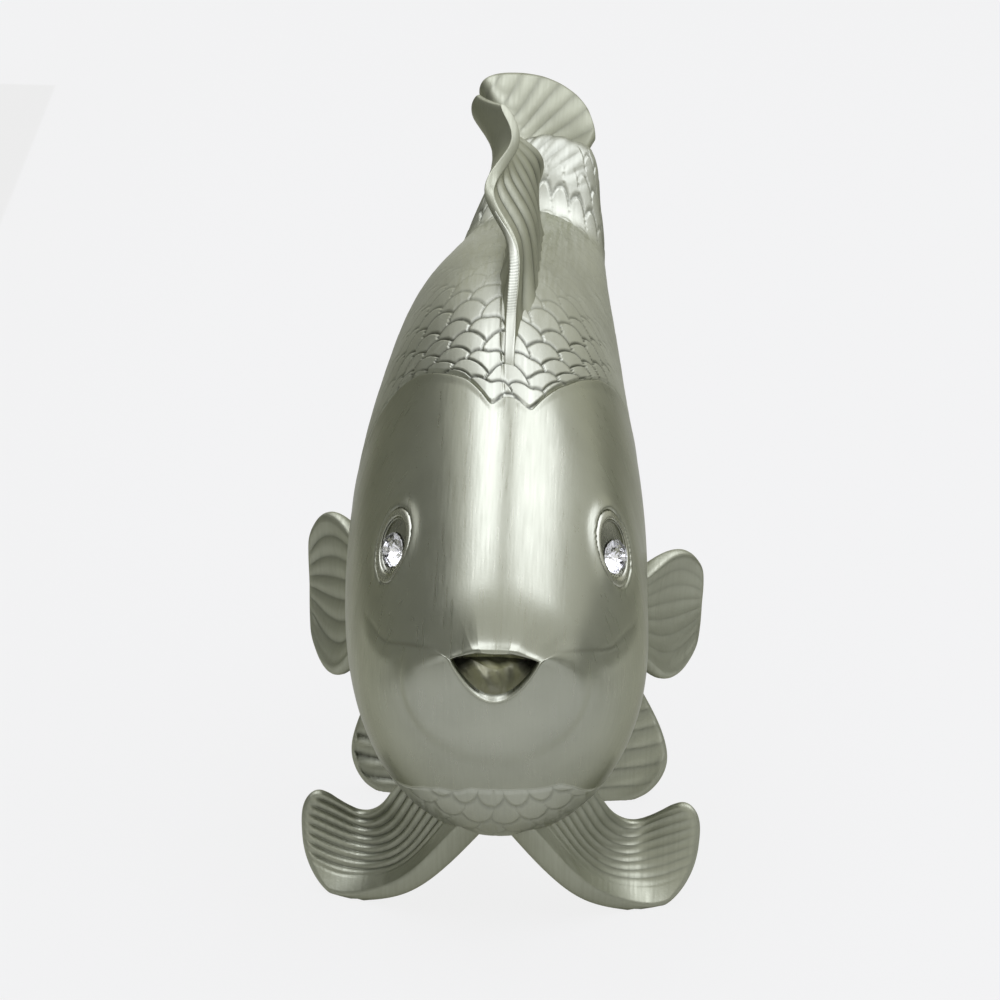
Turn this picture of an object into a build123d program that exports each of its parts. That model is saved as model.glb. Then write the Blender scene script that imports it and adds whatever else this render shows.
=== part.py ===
from build123d import *
from math import cos, radians, sin, sqrt
import os

os.makedirs("parts", exist_ok=True)

# Driving sizes of the figurine, in millimetres
body_length = 116
body_width = 49
back_height = 98
tail_overhang = 39
shell_wall = 1.2
glue_gap = 0.1
cut_overrun = 20

# Body outline, one row per cross-section from the mouth to the tail end.
# Each row: place along body_length, then top, bottom and widest level as shares of
# back_height, then half-width and sideways bend as shares of body_width.
body_rows_shares = [
    (0.000, 0.612, 0.495, 0.551, 0.173, 0.000),
    (0.026, 0.648, 0.423, 0.531, 0.245, 0.000),
    (0.069, 0.709, 0.332, 0.500, 0.327, 0.000),
    (0.138, 0.786, 0.230, 0.469, 0.408, 0.000),
    (0.224, 0.862, 0.158, 0.464, 0.465, -0.004),
    (0.328, 0.934, 0.128, 0.474, 0.490, -0.024),
    (0.448, 0.980, 0.138, 0.510, 0.498, -0.037),
    (0.569, 1.000, 0.194, 0.561, 0.482, -0.045),
    (0.690, 1.000, 0.301, 0.633, 0.445, -0.049),
    (0.810, 0.990, 0.439, 0.745, 0.388, -0.041),
    (0.914, 0.974, 0.582, 0.827, 0.322, -0.016),
    (1.000, 0.972, 0.684, 0.857, 0.278, 0.010),
]
crown_taper_share = 0.12
crown_handle_share = 0.42
round_handle_share = 0.5523

# Edge of the gill covers, where the smooth head meets the scaled body, in the side view,
# as shares of body_length and back_height
nape_back_share = 0.259
nape_height_share = 0.888
gill_back_share = 0.603
gill_height_share = 0.537
throat_back_share = 0.121
throat_height_share = 0.255

# Mouth: a flat-topped cup set in the front of the head
mouth_width = 14
mouth_height = 7
mouth_level_share = 0.578
mouth_depth = 8
mouth_wall = 0.8
mouth_taper = 12

# Eyes: a cut stone near the lower end of an oval setting
eye_back_share = 0.19
eye_height_share = 0.663
eye_turn = 31
eye_tilt = 21
setting_width = 8.4
setting_height = 12.4
setting_rim = 1.1
setting_depth = 3.4
setting_proud = 0.7
recess_depth = 1.6
stone_diameter = 5.3
stone_height = 2
stone_sides = 8
stone_taper = 28

# Pegs that are cast with the fins and glued into sockets
peg_diameter = 2.6
peg_length = 8
peg_start_share = 0.35

# Dorsal fin along the ridge of the back
dorsal_rise = 24
dorsal_sway = 8.5
dorsal_thickness = 9
dorsal_peg_share = 0.62

# Tail stalk, its dowel and the tail fin
stalk_length = 15
dowel_diameter = 4
dowel_length = 17
dowel_sunk_share = 0.65
tail_width = 21
tail_rise = 19
tail_thickness = 3
tail_root_back_share = 0.03
tail_root_rise_share = 0.065
tail_peg_drop_share = 0.35

# Paired fins, given by how far they stand out past the side of the body
pectoral_overhang = 9
pectoral_height = 24
pectoral_level_share = 0.378
pectoral_thickness = 3.2
pelvic_overhang = 6.5
pelvic_height = 17.5
pelvic_thickness = 3.2
anal_overhang = 3.2
anal_height = 20.5
anal_thickness = 3.2
foot_sink = 0.5

overall_length = body_length + tail_overhang
nose_y = -overall_length / 2
mouth_level = mouth_level_share * back_height
eye_back = eye_back_share * body_length
eye_height = eye_height_share * back_height
pectoral_level = pectoral_level_share * back_height


def place(x, y, z):
    """Point of the figurine, with y measured back from the mouth."""
    return Vector(x, nose_y + y, z)


def body_row(back):
    """Outline row at a distance back from the mouth, in millimetres."""
    along = min(max(back / body_length, 0), 1)
    for first, second in zip(body_rows_shares, body_rows_shares[1:]):
        if along <= second[0]:
            break
    part_way = (along - first[0]) / (second[0] - first[0])
    mixed = [a + (b - a) * part_way for a, b in zip(first, second)]
    levels = [share * back_height for share in mixed[1:4]]
    return levels + [share * body_width for share in mixed[4:]]


def side_of_body(back, height):
    """Half-width of the body at a place along it and a height above the floor."""
    top, bottom, widest, half_width = body_row(back)[:-1]
    reach = top - widest if height > widest else widest - bottom
    rise = min(abs(height - widest) / reach, 1)
    taper = 1 - crown_taper_share * rise**1.5 if height > widest else 1
    return half_width * sqrt(1 - rise**2) * taper


def oval_face(plane, half_width, up, down):
    """Closed oval on a plane, with its own reach upwards and downwards."""
    with BuildLine(plane) as outline:
        crown = Bezier(
            (0, up), (half_width * crown_handle_share, up),
            (half_width, up * round_handle_share), (half_width, 0),
        )
        keel = Bezier(
            (half_width, 0), (half_width, -down * round_handle_share),
            (half_width * round_handle_share, -down), (0, -down),
        )
        middle = Plane(origin=plane.origin, x_dir=plane.y_dir, z_dir=plane.x_dir)
        mirror(keel, about=middle)
        mirror(crown, about=middle)
    return Face(outline.wire())


def body_face(back, inset):
    """Cross-section of the body at a distance back, drawn in by inset."""
    top, bottom, widest, half_width, bend = body_row(back)
    plane = Plane(origin=place(bend, back, widest), x_dir=(1, 0, 0), z_dir=(0, -1, 0))
    return oval_face(plane, half_width - inset, top - widest - inset, widest - bottom - inset)


def fin_solid(strips, thickness):
    """Loft a thin dished sheet through strips that run from one edge of a fin to the other.

    Each strip holds its two edge points, the share of the thickness and the dish in millimetres.
    """
    middles = [(strip[0] + strip[1]) / 2 for strip in strips]
    faces = []
    for index, (near, far, thickness_share, dish) in enumerate(strips):
        before = middles[max(index - 1, 0)]
        after = middles[min(index + 1, len(middles) - 1)]
        chord = far - near
        x_dir = chord.normalized()
        travel = after - before
        z_dir = (travel - x_dir * x_dir.dot(travel)).normalized()
        half = thickness * thickness_share / 2
        edge = half / 2
        span = chord.length
        # Handle heights that carry the middle of each curve through dish plus or minus half
        upper_handle = (4 * (dish + half) - edge) / 3
        lower_handle = (4 * (dish - half) + edge) / 3
        with BuildSketch(Plane(origin=near, x_dir=x_dir, z_dir=z_dir)) as face:
            with BuildLine():
                upper = Bezier(
                    (0, edge), (span / 4, upper_handle), (span * 3 / 4, upper_handle), (span, edge)
                )
                lower = Bezier(
                    (0, -edge), (span / 4, lower_handle), (span * 3 / 4, lower_handle), (span, -edge)
                )
                Line(upper @ 0, lower @ 0)
                Line(upper @ 1, lower @ 1)
            make_face()
        faces.append(face.sketch)
    with BuildPart() as sheet:
        loft(sections=faces)
    return sheet.part


def peg_solid(start, direction, gap):
    """Round peg from a fin's root into the body, made larger by gap for its socket."""
    with BuildPart() as peg:
        with BuildSketch(Plane(origin=start, z_dir=direction)):
            Circle(peg_diameter / 2 + gap)
        extrude(amount=peg_length + gap)
    return peg.part


# Outer skin and cast filling of the body
station_backs = [row[0] * body_length for row in body_rows_shares]

with BuildPart() as outer:
    loft(sections=[body_face(back, 0) for back in station_backs])

with BuildPart() as filling:
    loft(sections=[body_face(back, shell_wall) for back in station_backs[1:]])

with BuildPart() as head_zone:
    with BuildSketch(Plane(origin=place(0, 0, 0), x_dir=(0, 1, 0), z_dir=(1, 0, 0))):
        with BuildLine():
            gill_edge = ThreePointArc(
                (nape_back_share * body_length, nape_height_share * back_height),
                (gill_back_share * body_length, gill_height_share * back_height),
                (throat_back_share * body_length, throat_height_share * back_height),
            )
            above = back_height + cut_overrun
            Polyline(
                gill_edge @ 1, (throat_back_share * body_length, -cut_overrun),
                (-cut_overrun, -cut_overrun), (-cut_overrun, above),
                (nape_back_share * body_length, above), gill_edge @ 0,
            )
        make_face()
    extrude(amount=body_width, both=True)


# Mouth cup, a flat-topped tapering cup that fills the mouth opening
def mouth_solid(inset, depth):
    """Tapered plug of the mouth's shape, drawn in by inset, from the front of the head."""
    half = mouth_width / 2 - inset
    top = -inset
    with BuildPart() as plug:
        with BuildSketch(Plane(origin=place(0, 0, mouth_level), x_dir=(1, 0, 0), z_dir=(0, -1, 0))):
            with BuildLine():
                lip = ThreePointArc((-half, top), (0, inset - mouth_height), (half, top))
                Line(lip @ 0, lip @ 1)
            make_face()
        extrude(amount=-depth, taper=mouth_taper)
    return plug.part


with BuildPart() as mouth_cup:
    add(mouth_solid(0, mouth_depth))
    add(mouth_solid(mouth_wall, mouth_depth - mouth_wall), mode=Mode.SUBTRACT)


# Eyes
def eye_plane(side):
    """Plane of an eye, facing out of the head, with its y axis up the face."""
    turn = radians(eye_turn)
    tilt = radians(eye_tilt)
    facing = Vector(side * cos(turn) * cos(tilt), -sin(turn) * cos(tilt), sin(tilt))
    bend = body_row(eye_back)[-1]
    centre = place(bend + side * side_of_body(eye_back, eye_height), eye_back, eye_height)
    across = Vector(-facing.Y, facing.X, 0).normalized()
    return Plane(origin=centre, x_dir=across, z_dir=facing)


def setting_plug(side, inset, lowest, height):
    """Oval plug square to an eye, from a level below the skin."""
    with BuildPart() as plug:
        with BuildSketch(eye_plane(side).offset(lowest)):
            Ellipse(setting_width / 2 - inset, setting_height / 2 - inset)
        extrude(amount=height)
    return plug.part


recess_floor = setting_proud - recess_depth
stone_drop = (setting_height - 2 * setting_rim - stone_diameter) / 2 - setting_rim

for side, side_name in ((-1, "right"), (1, "left")):
    with BuildPart() as eye_setting:
        add(setting_plug(side, 0, -setting_depth, setting_depth + setting_proud))
        add(setting_plug(side, setting_rim, recess_floor, cut_overrun), mode=Mode.SUBTRACT)
    eye_setting.part.label = side_name + "_eye_setting"
    export_step(eye_setting.part, "parts/" + side_name + "_eye_setting.step")

    with BuildPart() as eye_stone:
        with BuildSketch(eye_plane(side).offset(recess_floor)):
            with Locations((0, -stone_drop)):
                RegularPolygon(stone_diameter / 2, stone_sides)
        extrude(amount=stone_height / 2)
        with BuildSketch(eye_plane(side).offset(recess_floor + stone_height / 2)):
            with Locations((0, -stone_drop)):
                RegularPolygon(stone_diameter / 2, stone_sides)
        extrude(amount=stone_height / 2, taper=stone_taper)
    eye_stone.part.label = side_name + "_eye_stone"
    export_step(eye_stone.part, "parts/" + side_name + "_eye_stone.step")

# Dorsal fin, in level slices from inside the back to its curled top.
# Each slice: height above the back as a share of dorsal_rise, front and rear ends as shares of
# body_length, their sideways places and the dish as shares of dorsal_sway, and thickness share.
dorsal_slices_shares = [
    (-0.45, 0.285, 0.850, 0.00, 0.05, 0.00, 1.00),
    (-0.22, 0.320, 0.855, 0.00, 0.10, 0.00, 0.80),
    (0.03, 0.435, 0.860, -0.10, 0.20, -0.10, 0.52),
    (0.27, 0.515, 0.850, -0.32, 0.42, -0.10, 0.34),
    (0.50, 0.590, 0.820, -0.58, 0.36, 0.05, 0.28),
    (0.76, 0.640, 0.780, -0.12, -0.80, 0.10, 0.22),
    (0.99, 0.675, 0.735, -0.40, -0.90, 0.05, 0.16),
]
dorsal_strips = []
for rise, front, rear, front_sway, rear_sway, dish, thickness_share in dorsal_slices_shares:
    height = back_height + rise * dorsal_rise
    near = place(front_sway * dorsal_sway, front * body_length, height)
    far = place(rear_sway * dorsal_sway, rear * body_length, height)
    dorsal_strips.append((near, far, thickness_share, dish * dorsal_sway))

dorsal_root = place(0, dorsal_peg_share * body_length, back_height + peg_diameter / 2)
dorsal_peg_direction = Vector(0, 0, -1)

with BuildPart() as dorsal_fin:
    add(fin_solid(dorsal_strips, dorsal_thickness))
    add(outer.part, mode=Mode.SUBTRACT)
    add(peg_solid(dorsal_root, dorsal_peg_direction, 0))
dorsal_fin.part.label = "dorsal_fin"
export_step(dorsal_fin.part, "parts/dorsal_fin.step")

# Tail stalk, which carries the body's outline on and up to the foot of the tail fin.
# Rows as for the body, with the place along stalk_length.
stalk_rows_shares = [
    (0.18, 0.990, 0.715, 0.865, 0.266, 0.018),
    (0.40, 1.036, 0.770, 0.900, 0.246, 0.033),
    (0.65, 1.074, 0.860, 0.960, 0.210, 0.050),
    (0.85, 1.083, 0.950, 1.015, 0.185, 0.062),
    (1.00, 1.075, 1.015, 1.045, 0.155, 0.070),
]
stalk_faces = [body_face(body_length, 0)]
for along, *level_shares, half_share, bend_share in stalk_rows_shares:
    top, bottom, widest = [share * back_height for share in level_shares]
    centre = place(bend_share * body_width, body_length + along * stalk_length, widest)
    plane = Plane(origin=centre, x_dir=(1, 0, 0), z_dir=(0, -1, 0))
    stalk_faces.append(oval_face(plane, half_share * body_width, top - widest, widest - bottom))

with BuildPart() as stalk_bar:
    loft(sections=stalk_faces)

last_row = body_row(body_length)
dowel_start = place(last_row[-1], body_length - dowel_length * dowel_sunk_share, last_row[2])


def dowel_solid(gap):
    """Dowel that pins the stalk to the body, made larger by gap for its bore."""
    with BuildPart() as dowel:
        with BuildSketch(Plane(origin=dowel_start - Vector(0, gap, 0), z_dir=(0, 1, 0))):
            Circle(dowel_diameter / 2 + gap)
        extrude(amount=dowel_length + 2 * gap)
    return dowel.part


# Tail fin, a fan of rays from the end face of the stalk, held there by a peg.
# Each ray: root end and tip, as shares of tail_width, tail_overhang and tail_rise from the
# middle of the end face, then dish and thickness shares.
tail_rays_shares = [
    ((-0.248, -0.041, -0.032), (-0.439, 0.432, -0.306), -0.02, 0.60),
    ((-0.257, -0.041, 0.016), (-0.559, 0.482, 0.154), -0.03, 0.75),
    ((-0.219, -0.041, 0.040), (-0.599, 0.342, 0.534), -0.04, 0.90),
    ((-0.114, -0.041, 0.052), (-0.309, 0.432, 0.644), -0.04, 1.00),
    ((0.010, -0.041, 0.052), (0.031, 0.482, 0.544), -0.04, 1.00),
    ((0.133, -0.041, 0.042), (0.261, 0.412, 0.354), -0.04, 0.95),
    ((0.229, -0.041, 0.012), (0.381, 0.232, 0.074), -0.03, 0.80),
]
end_level_share, end_half_share, end_bend_share = stalk_rows_shares[-1][3:]
fan_centre = place(
    end_bend_share * body_width, body_length + stalk_length, end_level_share * back_height
)
tail_size = Vector(tail_width, tail_overhang, tail_rise)
tail_strips = []
for inner, tip, dish, thickness_share in tail_rays_shares:
    near = fan_centre + Vector(*[a * b for a, b in zip(inner, tail_size)])
    far = fan_centre + Vector(*[a * b for a, b in zip(tip, tail_size)])
    tail_strips.append((near, far, thickness_share, dish * tail_width))

tail_root_offset = Vector(0, tail_root_back_share * tail_overhang, tail_root_rise_share * tail_rise)
tail_root = fan_centre + tail_root_offset
tail_peg_direction = Vector(0, -1, -tail_peg_drop_share)
end_plane = Plane(origin=fan_centre, z_dir=(0, 1, 0))

with BuildPart() as tail_fin:
    add(fin_solid(tail_strips, tail_thickness))
    split(bisect_by=end_plane, keep=Keep.TOP)
    add(peg_solid(tail_root, tail_peg_direction, 0))
tail_fin.part.label = "tail_fin"
export_step(tail_fin.part, "parts/tail_fin.step")

with BuildPart() as tail_stalk:
    add(stalk_bar.part)
    add(dowel_solid(glue_gap), mode=Mode.SUBTRACT)
    add(peg_solid(tail_root, tail_peg_direction, glue_gap), mode=Mode.SUBTRACT)
tail_stalk.part.label = "tail_stalk"
export_step(tail_stalk.part, "parts/tail_stalk.step")

tail_dowel = dowel_solid(0)
tail_dowel.label = "tail_dowel"
export_step(tail_dowel, "parts/tail_dowel.step")

# Paired fins. Each strip: its inner and outer edge points, with x as a share of the fin's reach,
# y as a share of body_length and z as a share of the fin's height, then thickness and dish shares.
pectoral_strips_shares = [
    ((0.45, 0.560, -0.14), (0.45, 0.578, 0.24), 1.25, 0.00),
    ((0.64, 0.584, -0.26), (0.64, 0.600, 0.34), 1.10, -0.30),
    ((0.78, 0.618, -0.50), (0.80, 0.640, 0.46), 0.80, -0.60),
    ((0.91, 0.662, -0.47), (0.93, 0.676, 0.38), 0.60, -0.60),
    ((0.99, 0.698, -0.26), (1.00, 0.702, 0.16), 0.45, -0.30),
]
pelvic_strips_shares = [
    ((0.13, 0.198, 1.18), (0.39, 0.330, 1.29), 1.50, 0.00),
    ((0.31, 0.211, 0.74), (0.56, 0.345, 0.84), 1.20, -0.38),
    ((0.43, 0.228, 0.45), (0.71, 0.362, 0.72), 1.00, -0.70),
    ((0.59, 0.254, 0.19), (0.84, 0.371, 0.81), 0.80, -0.88),
    ((0.75, 0.289, 0.00), (0.94, 0.371, 0.90), 0.70, -0.75),
    ((0.90, 0.296, 0.27), (1.00, 0.345, 0.87), 0.50, -0.30),
]
anal_strips_shares = [
    ((0.07, 0.590, 1.60), (0.40, 0.680, 2.00), 1.50, 0.00),
    ((0.22, 0.605, 1.15), (0.67, 0.716, 1.30), 1.20, -0.30),
    ((0.32, 0.612, 0.75), (0.87, 0.719, 0.81), 1.00, -0.56),
    ((0.42, 0.625, 0.40), (0.99, 0.698, 0.46), 0.85, -0.62),
    ((0.51, 0.638, 0.13), (0.96, 0.672, 0.18), 0.70, -0.44),
    ((0.61, 0.647, 0.00), (0.87, 0.655, 0.00), 0.60, -0.20),
]
fin_table = [
    ("pectoral_fin", pectoral_strips_shares, pectoral_overhang, pectoral_height, pectoral_level,
     pectoral_thickness),
    ("pelvic_fin", pelvic_strips_shares, pelvic_overhang, pelvic_height, -foot_sink,
     pelvic_thickness),
    ("anal_fin", anal_strips_shares, anal_overhang, anal_height, -foot_sink, anal_thickness),
]

sockets = [peg_solid(dorsal_root, dorsal_peg_direction, glue_gap), dowel_solid(glue_gap)]
for side, side_name in ((-1, "right"), (1, "left")):
    for fin_name, fin_strips_shares, overhang, fin_height, level, thickness in fin_table:
        reach = body_width / 2 + overhang
        strips = []
        for near_shares, far_shares, thickness_share, dish_share in fin_strips_shares:
            near, far = [
                place(
                    side * x * reach + (1 - x) * body_row(y * body_length)[-1],
                    y * body_length,
                    level + z * fin_height,
                )
                for x, y, z in (near_shares, far_shares)
            ]
            strips.append((near, far, thickness_share, side * dish_share * thickness))
        buried = (strips[0][0] + strips[0][1]) / 2
        emerging = (strips[1][0] + strips[1][1]) / 2
        inward = (buried - emerging).normalized()
        root = emerging - (buried - emerging) * peg_start_share
        sockets.append(peg_solid(root, inward, glue_gap))
        with BuildPart() as paired_fin:
            add(fin_solid(strips, thickness))
            split(bisect_by=Plane.XY, keep=Keep.TOP)
            add(outer.part, mode=Mode.SUBTRACT)
            add(peg_solid(root, inward, 0))
        paired_fin.part.label = side_name + "_" + fin_name
        export_step(paired_fin.part, "parts/" + side_name + "_" + fin_name + ".step")

# Shells, head and filling, with every socket and pocket cut in them
pockets = sockets + [mouth_solid(0, mouth_depth)]
for side in (-1, 1):
    pockets.append(setting_plug(side, 0, -setting_depth, cut_overrun))

with BuildPart() as skin:
    add(outer.part)
    add(filling.part, mode=Mode.SUBTRACT)
    add(pockets, mode=Mode.SUBTRACT)

with BuildPart() as head_shell:
    add(skin.part)
    add(head_zone.part, mode=Mode.INTERSECT)
head_shell.part.label = "head_shell"
export_step(head_shell.part, "parts/head_shell.step")

for keep, side_name in ((Keep.BOTTOM, "right"), (Keep.TOP, "left")):
    with BuildPart() as body_shell:
        add(skin.part)
        add(head_zone.part, mode=Mode.SUBTRACT)
        split(bisect_by=Plane.YZ, keep=keep)
    body_shell.part.label = side_name + "_body_shell"
    export_step(body_shell.part, "parts/" + side_name + "_body_shell.step")

with BuildPart() as body_core:
    add(filling.part)
    add(pockets, mode=Mode.SUBTRACT)
body_core.part.label = "body_core"
export_step(body_core.part, "parts/body_core.step")

mouth_cup.part.label = "mouth_cup"
export_step(mouth_cup.part, "parts/mouth_cup.step")
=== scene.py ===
"""Scene of a silver-coloured fish figurine that stands on its fins on a pale floor."""
import logging
import math
from collections.abc import Callable
from dataclasses import dataclass
from enum import Enum
from typing import ClassVar

import bmesh
import bpy
import numpy as np
from mathutils import Matrix, Vector


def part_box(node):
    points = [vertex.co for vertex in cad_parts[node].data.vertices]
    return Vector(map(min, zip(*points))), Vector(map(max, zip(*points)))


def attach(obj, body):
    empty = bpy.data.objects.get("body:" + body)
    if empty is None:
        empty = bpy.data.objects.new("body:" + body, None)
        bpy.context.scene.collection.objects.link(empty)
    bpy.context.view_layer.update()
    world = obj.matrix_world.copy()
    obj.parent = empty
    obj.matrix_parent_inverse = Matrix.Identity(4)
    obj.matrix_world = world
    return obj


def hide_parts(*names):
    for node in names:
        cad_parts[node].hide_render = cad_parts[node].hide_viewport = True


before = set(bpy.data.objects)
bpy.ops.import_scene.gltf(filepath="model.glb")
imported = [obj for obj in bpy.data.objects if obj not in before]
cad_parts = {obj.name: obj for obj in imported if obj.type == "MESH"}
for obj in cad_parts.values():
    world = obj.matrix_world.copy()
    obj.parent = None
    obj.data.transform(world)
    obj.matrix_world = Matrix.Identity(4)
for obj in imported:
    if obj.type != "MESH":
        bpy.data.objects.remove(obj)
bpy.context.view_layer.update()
log = logging.getLogger("fish_figurine")
Amount = float | np.ndarray

MM = 0.001
BODY_LENGTH = 116.0
BODY_WIDTH = 49.0
BACK_HEIGHT = 98.0
TAIL_OVERHANG = 39.0
NOSE_Y = -(BODY_LENGTH + TAIL_OVERHANG) / 2

# Rows of the body: place along it, top, bottom and widest level, half-width and sideways bend
BODY_ROWS = (
    (0.000, 0.612, 0.495, 0.551, 0.173, 0.000),
    (0.026, 0.648, 0.423, 0.531, 0.245, 0.000),
    (0.069, 0.709, 0.332, 0.500, 0.327, 0.000),
    (0.138, 0.786, 0.230, 0.469, 0.408, 0.000),
    (0.224, 0.862, 0.158, 0.464, 0.465, -0.004),
    (0.328, 0.934, 0.128, 0.474, 0.490, -0.024),
    (0.448, 0.980, 0.138, 0.510, 0.498, -0.037),
    (0.569, 1.000, 0.194, 0.561, 0.482, -0.045),
    (0.690, 1.000, 0.301, 0.633, 0.445, -0.049),
    (0.810, 0.990, 0.439, 0.745, 0.388, -0.041),
    (0.914, 0.974, 0.582, 0.827, 0.322, -0.016),
    (1.000, 0.972, 0.684, 0.857, 0.278, 0.010),
)
# Rows of the tail stalk, with the place along its own length
STALK_LENGTH = 15.0
STALK_ROWS = (
    (0.18, 0.990, 0.715, 0.865, 0.266, 0.018),
    (0.40, 1.036, 0.770, 0.900, 0.246, 0.033),
    (0.65, 1.074, 0.860, 0.960, 0.210, 0.050),
    (0.85, 1.083, 0.950, 1.015, 0.185, 0.062),
    (1.00, 1.075, 1.015, 1.045, 0.155, 0.070),
)
CROWN_HANDLE = 0.42
ROUND_HANDLE = 0.5523
# Half the width of turn over which the corners of the two tables below are rounded off
EDGE_BLUR = 0.012

# Where the smooth head ends on each side: turn round the section, from 0 at the crown through
# 1 at the side to 2 at the keel, with the place along the body in mm
RIGHT_HEAD_EDGE = (
    (0.000, 30.0), (0.065, 28.7), (0.120, 32.0), (0.175, 35.0), (0.275, 39.2), (0.355, 43.2),
    (0.425, 46.5), (0.520, 50.2), (0.590, 52.2), (0.680, 54.5), (0.800, 57.5), (0.950, 60.0),
    (1.100, 59.0), (1.200, 54.0), (1.300, 44.0), (1.360, 34.0), (1.420, 26.0), (1.510, 19.5),
    (1.595, 14.2), (1.695, 11.5), (1.785, 10.8), (1.865, 9.3), (2.000, 9.0),
)
LEFT_HEAD_EDGE = (
    (0.000, 30.0), (0.055, 30.1), (0.135, 28.7), (0.220, 33.5), (0.325, 39.8), (0.445, 49.2),
    (0.490, 53.2), (0.600, 61.0), (0.720, 66.5), (0.850, 70.0), (1.000, 71.0), (1.100, 69.5),
    (1.200, 63.5), (1.300, 50.0), (1.360, 37.0), (1.420, 27.0), (1.500, 20.0), (1.555, 14.0),
    (1.615, 11.3), (1.710, 10.4), (1.855, 9.3), (2.000, 9.0),
)


class Side(Enum):
    """The fish's own right and left, as the sign of x."""

    RIGHT = -1
    LEFT = 1

    @property
    def word(self) -> str:
        """Name used in piece names."""
        return self.name.lower()


def linear(hex_colour: str) -> tuple[float, float, float, float]:
    """Turn an sRGB hex colour into linear RGBA.

    Args:
        hex_colour: Six hex digits, such as "8f9088".

    Returns:
        Linear red, green and blue, and an alpha of 1.
    """
    parts = [int(hex_colour[i:i + 2], 16) / 255 for i in (0, 2, 4)]
    red, green, blue = [
        part / 12.92 if part <= 0.04045 else ((part + 0.055) / 1.055) ** 2.4 for part in parts
    ]
    return red, green, blue, 1.0


def add_node(
    tree: bpy.types.NodeTree, kind: str, settings: dict | None = None, links: dict | None = None
) -> bpy.types.Node:
    """Add a shader node with its settings and links.

    Args:
        tree: Node tree to add to.
        kind: Blender's name of the node type.
        settings: Property names with values, and input names or numbers with values.
        links: Input names or numbers, each with the output socket that feeds it.

    Returns:
        The new node.
    """
    node = tree.nodes.new(kind)
    for name, value in (settings or {}).items():
        if isinstance(name, str) and hasattr(node, name):
            setattr(node, name, value)
        else:
            node.inputs[name].default_value = value
    for name, socket in (links or {}).items():
        tree.links.new(socket, node.inputs[name])
    return node


def smooth_step(x: np.ndarray, low: float, high: float) -> np.ndarray:
    """Ease from 0 at low to 1 at high."""
    t = np.clip((x - low) / (high - low), 0, 1)
    return t * t * (3 - 2 * t)


def bezier(t: np.ndarray, a: Amount, b: Amount, c: Amount, d: Amount) -> np.ndarray:
    """Point of a cubic Bezier curve at t."""
    s = 1 - t
    return a * s**3 + 3 * b * t * s**2 + 3 * c * t**2 * s + d * t**3


def spline(x: np.ndarray, knots: np.ndarray, values: np.ndarray) -> np.ndarray:
    """Natural cubic spline through rows of values.

    Args:
        x: Places to read, any shape.
        knots: Places of the rows, rising.
        values: One row of numbers for each knot.

    Returns:
        The numbers at each x, in a last axis.
    """
    gaps = np.diff(knots)
    count = len(knots)
    matrix = np.eye(count)
    right = np.zeros_like(values)
    for i in range(1, count - 1):
        matrix[i, i - 1:i + 2] = gaps[i - 1], 2 * (gaps[i - 1] + gaps[i]), gaps[i]
        slopes = (values[i + 1] - values[i]) / gaps[i] - (values[i] - values[i - 1]) / gaps[i - 1]
        right[i] = 6 * slopes
    bends = np.linalg.solve(matrix, right)
    i = np.clip(np.searchsorted(knots, x) - 1, 0, count - 2)
    t = (x - knots[i])[..., None]
    gap = gaps[i][..., None]
    slope = (values[i + 1] - values[i]) / gap - gap * (2 * bends[i] + bends[i + 1]) / 6
    return values[i] + t * slope + t**2 * bends[i] / 2 + t**3 * (bends[i + 1] - bends[i]) / (6 * gap)


def outward_normals(points: np.ndarray, wrap: bool = False) -> np.ndarray:
    """Unit normals of a grid of points that lies round its own middle line.

    Args:
        points: Rows along the piece and columns round it.
        wrap: True where the last column joins the first.

    Returns:
        Normals that point away from the middle of each row.
    """
    ring = np.concatenate([points[:, -1:], points, points[:, :1]], axis=1) if wrap else points
    normals = np.cross(np.gradient(ring, axis=1), np.gradient(ring, axis=0))
    if wrap:
        normals = normals[:, 1:-1]
    normals = normals / (np.linalg.norm(normals, axis=-1, keepdims=True) + 1e-12)
    away = np.sum(normals * (points - points.mean(axis=1, keepdims=True)), axis=-1)
    return normals * np.sign(np.median(away))


def make_piece(
    name: str, points: np.ndarray, faces: list[tuple[int, ...]], painted_shade: np.ndarray | None = None,
    flat: bool = False,
) -> bpy.types.Object:
    """Make a mesh object from points in mm, with y measured back from the mouth.

    Args:
        name: Name of the piece.
        points: Points, one a row.
        faces: Corner numbers of each face.
        painted_shade: Painted shade from 0 to 1 for each point, mostly in hollows, creases and recesses,
            read by the finishes.
        flat: True for cut facets, False for a smooth surface.

    Returns:
        The new object, in metres in the shared frame.
    """
    placed = (points + np.array([0, NOSE_Y, 0])) * MM
    mesh = bpy.data.meshes.new(name)
    mesh.from_pydata(placed.tolist(), [], faces)
    if painted_shade is not None:
        layer = mesh.attributes.new("painted_shade", "FLOAT", "POINT")
        layer.data.foreach_set("value", painted_shade.astype(np.float32).ravel())
    mesh.polygons.foreach_set("use_smooth", [not flat] * len(mesh.polygons))
    mesh.validate()
    shape = bmesh.new()
    shape.from_mesh(mesh)
    bmesh.ops.recalc_face_normals(shape, faces=shape.faces)
    shape.to_mesh(mesh)
    shape.free()
    mesh.update()
    piece = bpy.data.objects.new(name, mesh)
    bpy.context.scene.collection.objects.link(piece)
    return piece


def grid_faces(rows: int, columns: int, wrap: bool = False, start: int = 0) -> list[tuple[int, ...]]:
    """Four-sided faces of a grid of points.

    Args:
        rows: Number of rows.
        columns: Number of points in a row.
        wrap: True where the last column joins the first.
        start: Number of the first point.

    Returns:
        The corner numbers of each face.
    """
    last = columns if wrap else columns - 1
    faces = []
    for i in range(rows - 1):
        for j in range(last):
            k = (j + 1) % columns
            a, b = start + i * columns + j, start + i * columns + k
            faces.append((a, b, b + columns, a + columns))
    return faces


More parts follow.
